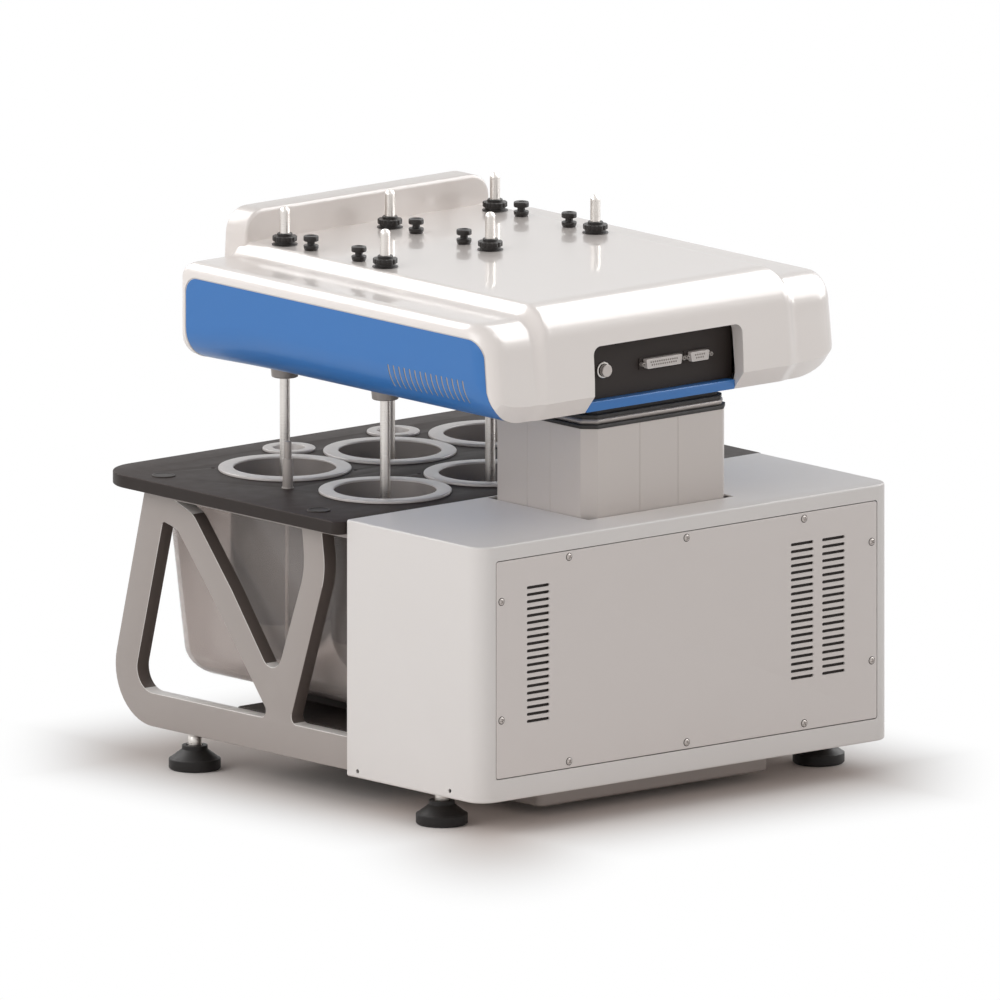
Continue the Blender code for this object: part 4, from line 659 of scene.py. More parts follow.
# %% Screw and slot templates, and sheets that stand across or along
def screw(radius, height):
    """A pan head with a cross recess, standing on Z = 0."""
    dome = turning([(0, -height)] + rounded([(radius * 0.98, -height), (radius, height * 0.35),
                   (radius * 0.72, height, radius * 0.5), (0, height)], 5, False), steps=24)
    arm = radius * 0.68, radius * 0.17
    cross = [block((-arm[0], -arm[1], height * 0.2), (arm[0], arm[1], height * 3)),
             block((-arm[1], -arm[0], height * 0.2), (arm[1], arm[0], height * 3))]
    return carved(carved(dome, cross[:1]), cross[1:])


def slot_cutter(width, height, depth, turn=FACING_REAR):
    """A prism with round ends, centred on the origin."""
    end = min(width, height) / 2 * 0.98
    return plate([rectangle(-width / 2, width / 2, -height / 2, height / 2, end, 5)],
                 -depth / 2, depth / 2, turn=turn)


def upright(outlines, front, rear, edge=0.0, steps=3):
    """A sheet that stands across the instrument, from outlines of (x, z)."""
    return plate(outlines, -rear, -front, edge, FACING_REAR, steps)


def sideways(outlines, left, right, edge=0.0, steps=3):
    """A sheet that stands along the instrument, from outlines of (y, z)."""
    return plate(outlines, left, right, edge, FACING_SIDE, steps)


print("screw template:", len(screw(0.0022, 0.001).polygons), "faces")

# %% [markdown]
# ## Cabinet
# The real cabinet is folded sheet with two rounded rear corners, and everything that lifts the
# head is inside it. Here it is a solid block with rounded edges that is hollowed, and then opened
# for the service panel, the column, the mains inlet and four fixing holes.

# %% Cabinet casing
CABINET = dict(half=0.265, front=0.0825, rear=0.285, low=0.033, high=0.2882)
SHEET = 0.0016
COLUMN = dict(left=-0.0990, right=0.0856, front=0.0885, rear=0.2375)
PANEL = dict(half=0.2442, low=0.0563, high=0.2723, gap=0.0009)
SIDE_HOLES = [(0.100, 0.040), (0.239, 0.041)]


def casing_block(inset, low, high, edge=0.0):
    """The cabinet's plan, drawn in by an inset, between two levels."""
    half, front, rear = CABINET["half"] - inset, CABINET["front"] + inset, CABINET["rear"] - inset
    return plate([rounded([(-half, front, 0.003), (half, front, 0.003), (half, rear, 0.020 - inset),
                           (-half, rear, 0.020 - inset)], 14)], low, high, edge)


hollow = casing_block(SHEET, CABINET["low"] - SHEET, CABINET["high"] - SHEET)
gap = PANEL["gap"]
panel_way = upright([rectangle(-PANEL["half"] - gap, PANEL["half"] + gap, PANEL["low"] - gap,
                               PANEL["high"] + gap, 0.003)], 0.275, 0.295)
column_way = block((COLUMN["left"] - 0.0015, COLUMN["front"] - 0.0015, 0.28),
                   (COLUMN["right"] + 0.0015, COLUMN["rear"] + 0.0015, 0.30))
inlet_way = block((-0.27, 0.1905, 0.0635), (-0.26, 0.2395, 0.1225))
holes = joined([sideways([circle(y, z, 0.0022, 20)], 0.262, 0.268) for y, z in SIDE_HOLES])
casing = casing_block(0.0, CABINET["low"], CABINET["high"], 0.0024)
casing = carved(carved(casing, [hollow]), [panel_way, column_way, inlet_way, holes])
assemble("cabinet_casing", "base", [(casing, cabinet_paint)], ["cabinet_shell"])

# %% [markdown]
# The service panel lies flush in the cabinet's rear, so that only a hairline shows. Its three
# columns of vents are cut by one set of slots, set out from the lowest slot of each column.

# %% Service panel, its vents and screws
VENT_COLUMNS = [(0.1906, 0.0292), (-0.14855, 0.0291), (-0.18875, 0.0291)]
VENT_LOW, VENT_PITCH, VENT_COUNT, VENT_HEIGHT = 0.1091, 0.007, 20, 0.0031
VENT_MARGIN, SHADE_RING_RADIUS, SCREW_RADIUS, SCREW_STAND = 0.004, 0.0040, 0.0033, 0.0014
PANEL_SCREWS = [(x, z) for x in (-0.151, 0.0, 0.151) for z in (0.0627, 0.2663)]
PANEL_SCREWS += [(x, z) for x in (-0.2378, 0.2378) for z in (0.1143, 0.2324)]

panel = upright([rectangle(-PANEL["half"], PANEL["half"], PANEL["low"], PANEL["high"], 0.0025)],
                0.2832, 0.285, 0.0003, 1)
vents = set_out(slot_cutter(VENT_COLUMNS[0][1], VENT_HEIGHT, 0.01),
                [(x, 0.284, VENT_LOW) for x, width in VENT_COLUMNS], dark_gap,
                Count=VENT_COUNT, Step=(0.0, 0.0, VENT_PITCH))
panel = carved(panel, [vents])
baffles = [upright([rectangle(x - width / 2 - VENT_MARGIN, x + width / 2 + VENT_MARGIN,
                              VENT_LOW - VENT_MARGIN, VENT_LOW + VENT_COUNT * VENT_PITCH)], 0.2815, 0.2826)
           for x, width in VENT_COLUMNS]
screw_places = [(x, 0.285, z) for x, z in PANEL_SCREWS]
# A thin dark disc under each screw head, wider than the head: a painted shade ring round it.
recess = turning([(0, -0.0003), (SHADE_RING_RADIUS, -0.0003), (SHADE_RING_RADIUS, 0.0001), (0, 0.0001)], steps=24)
screw_shade_rings = set_out(recess, screw_places, dark_sheet, (0, 1, 0))
heads = set_out(screw(SCREW_RADIUS, SCREW_STAND), screw_places, column_metal, (0, 1, 0), Loose_turn=3.0)
assemble("rear_service_panel", "base",
         [(panel, panel_paint), (joined([*baffles, screw_shade_rings]), dark_sheet), (heads, column_metal)],
         ["service_panel"])

# %% [markdown]
# ## Feet
# Each foot is a rubber pad with a black cone, and a threaded stud that sets the height. The pad is
# a turning. The thread is a spiral with a small profile swept along it, which a short tree makes
# from the pitch, so that all four feet share it.

# %% The tree that winds a thread
thread_tree, given, out = group(
    "GeometryNodeTree", "Wind a thread",
    [("Core", GEOMETRY, None), ("Radius", FLOAT, 0.007), ("Turns", FLOAT, 8.0), ("Height", FLOAT, 0.01),
     ("Ridge", FLOAT, 0.0005), ("Base", VECTOR, (0, 0, 0)), ("Finish", MATERIAL, None)],
    [("Geometry", GEOMETRY)])
coil = node(thread_tree, "GeometryNodeCurveSpiral",
            {"Resolution": 20, "Rotations": given["Turns"], "Start Radius": given["Radius"],
             "End Radius": given["Radius"], "Height": given["Height"]}).outputs[0]
ridge = node(thread_tree, "GeometryNodeCurvePrimitiveCircle", {"Resolution": 4, "Radius": given["Ridge"]})
swept = node(thread_tree, "GeometryNodeCurveToMesh",
             {"Curve": coil, "Profile Curve": ridge.outputs[0], "Fill Caps": True}).outputs[0]
moved = node(thread_tree, "GeometryNodeTransform", {0: swept, "Translation": given["Base"]}).outputs[0]
both = node(thread_tree, "GeometryNodeJoinGeometry", {0: given["Core"]})
thread_tree.links.new(moved, both.inputs[0])
solid = node(thread_tree, "GeometryNodeRealizeInstances", {0: both.outputs[0]}).outputs[0]
finished = node(thread_tree, "GeometryNodeSetMaterial", {0: solid, "Material": given["Finish"]})
plug(thread_tree, out.inputs[0], finished.outputs[0])
print("tree:", thread_tree.name)

# %% Four levelling feet
FEET = {1: (0.242, 0.2001), 2: (-0.242, 0.2001), 3: (0.242, -0.1718), 4: (-0.242, -0.1718)}
STUD_RADIUS, COLLAR_TOP = 0.0068, 0.0237

pad_profile = rounded([(0, 0), (0.0240, 0), (0.0255, 0.0015), (0.0255, 0.0104, 0.0010),
                       (0.0238, 0.0112, 0.0010), (0.01265, 0.0196, 0.0010), (0.01265, COLLAR_TOP, 0.0006),
                       (0.0085, COLLAR_TOP), (0.0085, 0.0220), (0, 0.0220)], 4, False)
for number, place in FEET.items():
    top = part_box(f"foot_{number}")[1].z
    core = turning([(0, 0.0215), (STUD_RADIUS, 0.0215), (STUD_RADIUS, top), (0, top)], place, 32)
    stud = grown(thread_tree, core, Radius=STUD_RADIUS, Turns=7.0, Height=0.0105, Ridge=0.00045,
                 Base=(*place, 0.0228), Finish=stud_steel)
    assemble(f"levelling_foot_{number}", f"foot_{number}_body",
             [(turning(pad_profile, place, 64), foot_rubber), (stud, stud_steel)],
             [f"foot_{number}"])

# %% [markdown]
# ## Base pan and side frames
# The pan under the cabinet is a shallow pressing. The side frames are cast plates with slanting
# windows. Their outline is drawn once, with generous corner radii, and the same sheet stands on
# both sides. The walls of the windows are painted dark as painted shade, and the other edge faces
# pale as a painted highlight, chosen by the way each face points.

# %% Base pan
pan = plate([rectangle(-0.148, 0.148, 0.135, 0.237, 0.008)], 0.009, 0.0327, 0.0035)
pan_hollow = block((-0.1445, 0.1385, 0.0125), (0.1445, 0.2335, 0.05))
# The pan takes the darker casting paint as painted shade, for its place under the cabinet.
assemble("base_pan_pressing", "base", [(carved(pan, [pan_hollow]), casting_paint)],
         ["base_pan"])

# %% Side frames
FRAME_REAR, FRAME_REACH, FRAME_LOW, FRAME_TALL, TOE = 0.0822, 0.3804, 0.0345, 0.2379, 0.0554
FRAME_BORDER = ((0, 0, 0), (1, 0, 1), (0.84, 1, 0.05), (0, 1, 0), (0, 0.968, 0), (0.1414, 0.968, 0.03),
                (0.1262, 0.803, 1.4), (0.2692, 0.14, 0.13), (0, 0.14, 0))
FRONT_WINDOW = ((0.7702, 0.868, 0.055), (0.8898, 0.141, 0.41), (0.3431, 0.141, 0.13),
                (0.5907, 0.6234, 2.7), (0.7137, 0.847, 0.27))
MIDDLE_WINDOW = ((0.7182, 0.966, 0), (0.6504, 0.926, 0.45), (0.4982, 0.645, 2.7), (0.3291, 0.294, 0.27),
                 (0.2087, 0.8, 1.4), (0.2203, 0.966, 0.03))


def frame_line(shares):
    """A closed line of (y, z) from shares of the frame's reach, height and toe radius."""
    return rounded([(FRAME_REAR - along * FRAME_REACH, FRAME_LOW + up * FRAME_TALL, radius * TOE)
                    for along, up, radius in shares], 14)


frame_lines = [frame_line(FRAME_BORDER), frame_line(FRONT_WINDOW), frame_line(MIDDLE_WINDOW)]
for side, name in ((1, "right"), (-1, "left")):
    left, right = sorted((side * 0.234, side * 0.250))
    mesh = sideways(frame_lines, left, right, 0.0011, 2)
    piece = assemble(f"cast_frame_{name}", "base", [(mesh, casting_paint)],
                     [f"side_frame_{name}"], 40)
    piece.data.materials.append(casting_inside)
    piece.data.materials.append(casting_rim)
    # Faces sorted by direction: window walls take painted shade, the other edge faces a painted highlight.
    for face in piece.data.polygons:
        if abs(face.normal.x) < 0.3 and face.normal.z < 0.85:
            face.material_index = 1
        elif abs(face.normal.x) < 0.95 and face.normal.z > -0.2:
            face.material_index = 2

# %% [markdown]
# ## Vessel plate, vessels and cups
# The dark plate carries six vessels by their flange rings. A vessel is a clear turned wall with a
# round bottom, and its ring is a separate grey moulding. Two small sample cups sit in front.

# %% Vessel plate with its caps
SPINDLES = [(-0.135, -0.1616), (0.0, -0.1616), (0.135, -0.1616),
            (-0.135, -0.0105), (0.0, -0.0105), (0.135, -0.0105)]
CUPS = [(0.067, -0.235), (-0.067, -0.235)]
PROBE = (0.1957, -0.08605)
PLATE_LOW, PLATE_HIGH = 0.2727, 0.2857
PLATE_CAPS = [(side * 0.247, y) for side in (1, -1) for y in (-0.213, 0.021)]
PLATE_PINS = [(side * x, y) for side in (1, -1) for x, y in
              ((0.184, -0.212), (0.085, -0.114), (0.050, -0.059))]

border = rounded([(-0.275, -0.285, 0.045), (0.275, -0.285, 0.045), (0.275, 0.0815, 0.010),
                  (-0.275, 0.0815, 0.010)], 16)
bores = [circle(x, y, 0.0533, 96) for x, y in SPINDLES] + [circle(x, y, 0.0168, 48) for x, y in CUPS]
bores += [circle(*PROBE, 0.0020, 16)] + [circle(x, y, 0.0015, 16) for x, y in PLATE_PINS]
deck_plate = plate([border] + bores, PLATE_LOW, PLATE_HIGH, 0.0014)
cap_profile = rounded([(0, -0.002), (0.01185, -0.002), (0.01185, 0.0009, 0.0005), (0.0100, 0.0011, 0.0004),
                       (0.0092, 0.0007, 0.0003), (0, 0.0007)], 3, False)
caps = set_out(turning(cap_profile, steps=48), [(x, y, PLATE_HIGH) for x, y in PLATE_CAPS], dark_sheet)
vessel_deck = assemble("vessel_deck", "base", [(deck_plate, plate_coating), (caps, dark_sheet)],
                       ["vessel_plate"])
# The plate's side faces take the darker sheet finish as painted shade on its edges.
for face in vessel_deck.data.polygons:
    if face.material_index == 0 and abs(face.normal.z) < 0.5:
        face.material_index = 1

# %% Vessels and their rings
BODY, WALL, BOWL = 0.0525, 0.0020, 0.1495


def bowl(radius, steps=18):
    """The quarter circle of a round bottom, from its lowest point up to the straight wall."""
    turns = [math.pi / 2 * step / steps for step in range(steps + 1)]
    return [(radius * math.sin(turn), BOWL - radius * math.cos(turn)) for turn in turns]


glass_profile = bowl(BODY) + [(BODY, PLATE_HIGH + 0.0001), (0.0600, PLATE_HIGH + 0.0001),
                              (0.0600, 0.2868), (BODY - WALL, 0.2868)] + bowl(BODY - WALL)[::-1]
ring_profile = rounded([(0.0503, 0.2869), (0.0601, 0.2869), (0.0601, PLATE_HIGH + 0.0002),
                        (0.06525, PLATE_HIGH + 0.0002, 0.0004), (0.06525, 0.2887, 0.0014),
                        (0.0503, 0.2887, 0.0012)], 5)
for number, place in enumerate(SPINDLES, 1):
    vessel = assemble(f"vessel_{number}_glass", "base",
                      [(turning(glass_profile, place, 96), vessel_glass),
                       (turning(ring_profile, place, 96), ring_plastic)],
                      [f"vessel_{number}"])
    # The outer wall below the plate takes the darker copy of the glass as painted shade.
    vessel.data.materials.append(vessel_depth)
    for face in vessel.data.polygons:
        outward = face.center.xy - Vector(place)
        if face.center.z < PLATE_LOW and outward.length > BODY - WALL / 2:
            face.material_index = 2

# %% Sample cups
cup_profile = rounded([(0, 0.2567), (0.0130, 0.2567, 0.0015), (0.0164, 0.2858), (0.0260, 0.2858, 0.0005),
                       (0.0260, 0.2887, 0.0013), (0.0157, 0.2887, 0.0010), (0.0122, 0.2577, 0.0010),
                       (0, 0.2577)], 4, False)
for number, place in enumerate(CUPS, 1):
    assemble(f"sample_cup_{number}", f"cup_{number}_body", [(turning(cup_profile, place, 64), ring_plastic)],
             [f"cup_{number}"])

# %% Temperature probe
probe_profile = rounded([(0, 0.2859), (0.0060, 0.2859), (0.0060, 0.2869, 0.0003), (0.0052, 0.2869),
                         (0.0052, 0.3155, 0.0006), (0.00375, 0.3155), (0.00375, 0.3324, 0.0008),
                         (0, 0.3324)], 3, False)
probe_rod = turning([(0, 0.1277), (0.0010, 0.1280), (0.0017, 0.1290), (0.0017, 0.2862), (0, 0.2862)],
                    PROBE, 20)
assemble("temperature_probe", "base", [(turning(probe_profile, PROBE, 40), boss_metal),
         (probe_rod, white_gloss)], ["probe_post"])

# %% [markdown]
# ## Water bath
# The bath is one vacuum-formed tank: it narrows downwards, its corners are wide arcs, and its
# bottom edge is rounder still. Rings of points at rising heights describe it, first up the outside
# and then down the inside, and the faces between them close the wall.

# %% Lofts of rings
def lofted(rings):
    """A closed skin over a row of closed rings, each with the same number of points."""
    shape = bmesh.new()
    rows = [[shape.verts.new(point) for point in ring] for ring in rings]
    for low, high in zip(rows, rows[1:]):
        for k in range(len(low)):
            nxt = (k + 1) % len(low)
            shape.faces.new((low[k], low[nxt], high[nxt], high[k]))
    shape.faces.new(rows[0][::-1])
    shape.faces.new(rows[-1])
    return from_bmesh(shape)


BATH = dict(half=0.2195, front=-0.2545, rear=0.0615, low=0.0800, high=0.2724)
TAPER = dict(half=0.016, front=0.013, rear=0.006)
BATH_CORNER, BATH_SOLE, BATH_WALL, BATH_RIM, RIM_HEIGHT = 0.022, 0.028, 0.003, 0.0015, 0.006


def bath_ring(height, inset, corner=BATH_CORNER):
    """The bath's plan at a height, drawn in by an inset."""
    fall = 1 - (height - BATH["low"]) / (BATH["high"] - BATH["low"])
    half = BATH["half"] - TAPER["half"] * fall - inset
    front = BATH["front"] + TAPER["front"] * fall + inset
    rear = BATH["rear"] - TAPER["rear"] * fall - inset
    radius = max(corner - inset * 0.5, 0.004)
    return [(x, y, height) for x, y in rectangle(-half, half, front, rear, radius, 10)]


def bath_side(wall):
    """Rings up one side of the wall, with the rounded bottom edge."""
    sole = BATH_SOLE - wall
    rings = []
    for step in range(9):
        turn = math.pi / 2 * step / 8
        rings.append(bath_ring(BATH["low"] + wall + sole * (1 - math.cos(turn)),
                               wall + sole * (1 - math.sin(turn))))
    return rings + [bath_ring(BATH["low"] + share * (BATH["high"] - BATH["low"] - RIM_HEIGHT), wall)
                    for share in (0.4, 0.7, 1.0)]


rim = [bath_ring(BATH["high"] - RIM_HEIGHT + 0.0004, -BATH_RIM), bath_ring(BATH["high"] - 0.0006, -BATH_RIM),
       bath_ring(BATH["high"], -BATH_RIM + 0.0006), bath_ring(BATH["high"], BATH_WALL)]
tank = lofted(bath_side(0.0) + rim + bath_side(BATH_WALL)[::-1])
assemble("bath_tank", "base", [(tank, bath_plastic)], ["water_bath"])

# %% [markdown]
# ## Column and gasket
# The head rides on a drawn aluminium column with chamfered corners, built of panels that meet in
# fine seams. A flexible gasket closes the gap to the head: dark flanges with a paler rounded band
# between them.

# %% Column with its seams
SEAM, SEAM_DEPTH, CHAMFER, COLUMN_WALL = 0.00035, 0.0005, 0.012, 0.003
REAR_SEAMS, SIDE_SEAMS = (0.0194, -0.0296), (0.1797, 0.1454)


def column_line(grow=0.0, seams=False):
    """The column's plan, grown outwards, with or without the notches of its seams."""
    left, right = COLUMN["left"] - grow, COLUMN["right"] + grow
    front, rear = COLUMN["front"] - grow, COLUMN["rear"] + grow
    cut = CHAMFER + grow * 0.4

    def notches(places, towards):
        return [towards(place + shift, depth) for place in places
                for shift, depth in ((SEAM, 0), (0, SEAM_DEPTH), (-SEAM, 0))] if seams else []
    line = [(left + cut, front)] + notches(REAR_SEAMS, lambda x, d: (x, front + d))[::-1]
    line += [(right - cut, front), (right, front + cut)]
    line += notches(SIDE_SEAMS, lambda y, d: (right - d, y))[::-1]
    line += [(right, rear - cut), (right - cut, rear)] + notches(REAR_SEAMS, lambda x, d: (x, rear - d))
    line += [(left + cut, rear), (left, rear - cut)] + notches(SIDE_SEAMS, lambda y, d: (left + d, y))
    return line + [(left, front + cut)]


sleeve = plate([column_line(seams=True), column_line(-COLUMN_WALL)], 0.060, 0.3765)
assemble("lift_column", "head", [(sleeve, column_metal)], ["column_sleeve"], 20)

# %% Gasket
def gasket_layer(grow, low, high, edge):
    """One layer of the gasket, with the way through for the cables."""
    line = [(x, y) for x, y in rounded([(*point, 0.004) for point in column_line(grow)], 5)]
    return plate([line, column_line(grow - 0.015)], low, high, edge)


flanges = joined([gasket_layer(0.001, 0.3768, 0.3804, 0.0006), gasket_layer(-0.002, 0.3862, 0.3899, 0.0006),
                  gasket_layer(-0.006, 0.3900, 0.3962, 0.0004)])
band = gasket_layer(-0.001, 0.3805, 0.3861, 0.0026)
assemble("column_bellows", "head", [(flanges, seal_rubber), (band, boss_metal)],
         ["column_gasket"])

# %% [markdown]
# ## What stays inside
# Some solids of the frame already have the right shape: the tray and heater under the bath, the
# power supply, the lift and the drive. They keep their meshes and only get their finishes.

# %% Finishes for the frame's own solids
KEPT = {"base_tray": dark_sheet, "circulation_heater": dark_sheet, "power_supply": column_metal,
        "cabinet_floor": panel_paint, "lift_actuator": column_metal, "lift_rod": turned_steel,
        "drive_motor": black_plastic, "motor_pulley": column_metal,
        "drive_belt": seal_rubber}
for name, finish in KEPT.items():
    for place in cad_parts[name].material_slots:
        place.material = finish
print("finished frame solids:", len(KEPT))
# %% [markdown]
# ## Head
# The head is a moulded cover over a coloured lower shell. Both belong to one smooth form: a raised
# deck, a soft step down to the shoulders, tight corners along the sides and a wide arc under them.
# That form is built like a ship's hull, from upright slices set along its width. The two shells and
# the pale lip between them are then cut out of it, so their surfaces run on without a break.

# %% Slices of the head
HEAD = dict(half=0.2256, deck=0.5095, shoulder=0.4970, low=0.3965, front=-0.2140)
DECK_EDGE, SHOULDER_START, STEP_ROUND = 0.1485, 0.1720, 0.010
SIDE_ROUND, UNDER_ROUND, FRONT_CORNER, REAR_CORNER = 0.013, 0.050, 0.007, 0.024
UNDER_FRONT, FRONT_RISE, BLEND_START, BLEND_STEPS = 0.034, 0.002, -0.090, 6
HOOD_ROUND, SHOULDER_ROUND, NOSE_ROUND, CHIN_ROUND, LEAST = 0.035, 0.030, 0.015, 0.008, 0.003
BEVEL_RISE, BEVEL_REACH, HEAD_WALL, GUARD = 0.0183, 0.015, 0.003, 0.002
HOOD_LINE = [(0.415, 0.2590), (0.437, 0.2587), (0.4745, 0.2556)]
SHOULDER_LINE = [(0.415, 0.2560), (0.437, 0.2535), (0.467, 0.2495)]
step_drop = HEAD["deck"] - HEAD["shoulder"]
step_run = SHOULDER_START - DECK_EDGE
STEP_FILLET = (step_run ** 2 + (step_drop - STEP_ROUND) ** 2 - STEP_ROUND ** 2) / (2 * step_drop)
STEP_TURN = DECK_EDGE + STEP_ROUND * step_run / (STEP_ROUND + STEP_FILLET)


def drop(x, side, radius):
    """How far a rounded corner has fallen away at a distance from the middle."""
    past = min(max(0.0, x - (side - radius)), radius)
    return radius - math.sqrt(radius ** 2 - past ** 2)


def along(line, z):
    """A depth read off a line of (height, depth) points."""
    for (low, start), (high, end) in zip(line, line[1:]):
        if z <= high:
            return start + (end - start) * max(0.0, (z - low) / (high - low))
    return line[-1][1]


def head_top(x):
    """The height of deck, step and shoulder at a distance from the middle."""
    if x <= STEP_TURN:
        return HEAD["deck"] - drop(x, DECK_EDGE + STEP_ROUND, STEP_ROUND)
    return HEAD["shoulder"] + drop(2 * SHOULDER_START - x, SHOULDER_START + STEP_FILLET, STEP_FILLET)


def head_rear(x, z):
    """The depth of the rear face: the hood stands a little further out than the shoulders."""
    share = min(max((x - 0.154) / 0.015, 0.0), 1.0)
    share = share * share * (3 - 2 * share)
    return along(HOOD_LINE, z) * (1 - share) + along(SHOULDER_LINE, z) * share


def quarter(y, z, radius, start, steps):
    """A quarter of a circle that runs clockwise from an angle in degrees."""
    turns = [math.radians(start - 90 * step / steps) for step in range(steps + 1)]
    return [(y + radius * math.cos(turn), z + radius * math.sin(turn)) for turn in turns]


def head_slice(place, inset):
    """The outline of the head, as points at one place across it, drawn in by an inset."""
    x, side = abs(place), HEAD["half"] - inset
    corner = drop(x, side, SIDE_ROUND - inset)
    under, ahead = drop(x, side, UNDER_ROUND - inset), drop(x, side, UNDER_FRONT - inset)
    top, low = head_top(x) - inset - corner, HEAD["low"] + inset + under
    low_ahead = HEAD["low"] + FRONT_RISE + inset + ahead
    front = HEAD["front"] + inset + drop(x, side, FRONT_CORNER - inset)
    rear_drop = inset + drop(x, side, REAR_CORNER - inset)
    hood = HOOD_ROUND if x < SHOULDER_START else SHOULDER_ROUND
    if DECK_EDGE < x < SHOULDER_START:
        hood += (SHOULDER_ROUND - HOOD_ROUND) * (x - DECK_EDGE) / step_run
    hood = max(hood - inset - corner, LEAST)
    nose, chin = max(NOSE_ROUND - inset - corner, LEAST), max(CHIN_ROUND - inset - ahead, LEAST)
    share = max(1 - under / 0.030, 0.25)
    bevel_top = low + BEVEL_RISE * share

    def rear(z):
        return head_rear(x, z) - rear_drop
    points = quarter(front + nose, top - nose, nose, 180, 8)
    points += [(front + nose + GUARD, top), (rear(top - hood) - hood - GUARD, top)]
    points += quarter(rear(top - hood) - hood, top - hood, hood, 90, 14)
    points += [(rear(z), z) for z in (top - hood + (bevel_top - top + hood) * k / 4 for k in (1, 2, 3, 4))]
    points.append((rear(bevel_top) - BEVEL_REACH * share, low))
    for step in range(BLEND_STEPS + 1):
        part = step / BLEND_STEPS
        points.append((BLEND_START + (front + chin + GUARD - BLEND_START) * part,
                       low + (low_ahead - low) * part * part * (3 - 2 * part)))
    points += quarter(front + chin, low_ahead + chin, chin, 270, 10)
    return [(place, y, z) for y, z in points]


def head_form(inset):
    """The whole head as a closed skin, drawn in by an inset."""
    side = HEAD["half"] - inset
    places = {0.0, DECK_EDGE - GUARD, SHOULDER_START + GUARD, side - SIDE_ROUND + inset - GUARD}
    places |= {DECK_EDGE + (STEP_TURN - DECK_EDGE) * k / 6 for k in range(7)}
    places |= {STEP_TURN + (SHOULDER_START - STEP_TURN) * k / 8 for k in range(1, 9)}
    for radius, steps in ((UNDER_ROUND, 12), (UNDER_FRONT, 8), (SIDE_ROUND, 6)):
        radius -= inset
        places |= {side - radius + radius * math.sin(math.pi / 2 * k / steps) for k in range(steps + 1)}
    ordered = sorted(places)
    kept = [x for x, following in zip(ordered, ordered[1:]) if following - x > 1e-5] + [side]
    rings = [head_slice(x, inset) for x in [-x for x in kept[:0:-1]] + kept]

    def shrunk(ring):
        middle = sum((Vector(point) for point in ring), Vector()) / len(ring)
        return [tuple(Vector(point) + (middle - Vector(point)).normalized() * GUARD) for point in ring]
    return lofted([shrunk(rings[0])] + rings + [shrunk(rings[-1])])


form = head_form(0.0)
print("head form:", len(form.polygons), "faces; step fillet", round(STEP_FILLET / MM, 1), "mm")

# %% Cover with its bay, holes and pale lip
BAY = dict(half=0.0955, top=0.4637, back=0.2353, corner=0.009)
LIP, LIP_SINK, BLUE_SINK = 0.0013, 0.0007, 0.0003
TUBE_HOLE, PLUG_HOLE, BOSS_HOLE, ROD_HOLE = 0.0085, 0.005, 0.0155, 0.0105
PLUGS = [(x, y) for y in (-0.12204, -0.05006) for x in (-0.135, 0.0, 0.135)]
LIFT_ROD = (-0.0067, 0.163)


def lower_zone(shrink):
    """A cutter that covers what the lower shell covers, seen from the side."""
    front, low, top = -0.206 + shrink, 0.3955, 0.4835 - shrink
    return sideways([rounded([(front, low, 0.006), (0.2482 - shrink, low, 0.020), (0.2384 - shrink, top, 0.020),
                              (front, top, 0.017 - shrink)], 14)], -0.25, 0.25)


def bay_line(grow, low):
    """The bay's opening with two rounded upper corners."""
    half, top = BAY["half"] + grow, BAY["top"] + grow
    return rounded([(-half, low, 0), (half, low, 0), (half, top, BAY["corner"]), (-half, top, BAY["corner"])])


def drilled(mesh, places, radius, low, high):
    """A mesh with a row of upright round holes."""
    return carved(mesh, [plate([circle(x, y, radius, 32)], low, high) for x, y in places])


room = carved(head_form(HEAD_WALL), [upright([bay_line(0.003, 0.38)], BAY["back"] - 0.003, 0.27)])
shell = carved(carved(form, [lower_zone(0.0)]), [room])
shell = carved(shell, [upright([bay_line(0.0, 0.38)], BAY["back"], 0.27)])
shell = drilled(shell, SPINDLES, TUBE_HOLE, 0.49, 0.53)
shell = drilled(shell, PLUGS, PLUG_HOLE, 0.49, 0.53)
print("cover shell:", len(shell.polygons), "faces")

rim_band = carved(lower_zone(-0.0002), [lower_zone(LIP)])
lip = carved(carved(head_form(LIP_SINK), [rim_band], "INTERSECT"), [head_form(HEAD_WALL)])
lip = carved(lip, [upright([bay_line(0.0, 0.38)], BAY["back"] - 0.02, 0.27)])
assemble("head_cover_shell", "head", [(shell, white_gloss), (lip, ring_plastic)],
         ["head_cover"], 40)

# %% Lower shell with its vents
SLIT_FIRST, SLIT_PITCH, SLIT_COUNT, SLIT_WIDTH = 0.0987, 0.008, 15, 0.0023
SLIT_LOW, SLIT_HIGH, SLIT_DEPTH = 0.416, 0.440, 0.0005
STRIP = dict(front=0.2340, rear=0.2466, top=0.4066)
lower = carved(carved(head_form(BLUE_SINK), [lower_zone(LIP)], "INTERSECT"), [head_form(HEAD_WALL)])
strip = block((-BAY["half"] + 0.0003, STRIP["front"], HEAD["low"] + 0.0003),
              (BAY["half"] - 0.0003, STRIP["rear"], STRIP["top"]), 0.0012)
lower = carved(lower, [strip], "UNION")
lower = drilled(lower, SPINDLES, BOSS_HOLE, 0.38, 0.42)
lower = drilled(lower, [LIFT_ROD], ROD_HOLE, 0.38, 0.42)
vent = slot_cutter(SLIT_WIDTH, SLIT_HIGH - SLIT_LOW, 0.08, FACING_SIDE)
starts = [(side * 0.205, SLIT_FIRST, (SLIT_LOW + SLIT_HIGH) / 2) for side in (-1, 1)]
slots = set_out(vent, starts, dark_gap, Count=SLIT_COUNT, Step=(0.0, SLIT_PITCH, 0.0))
lower = carved(lower, [slots])


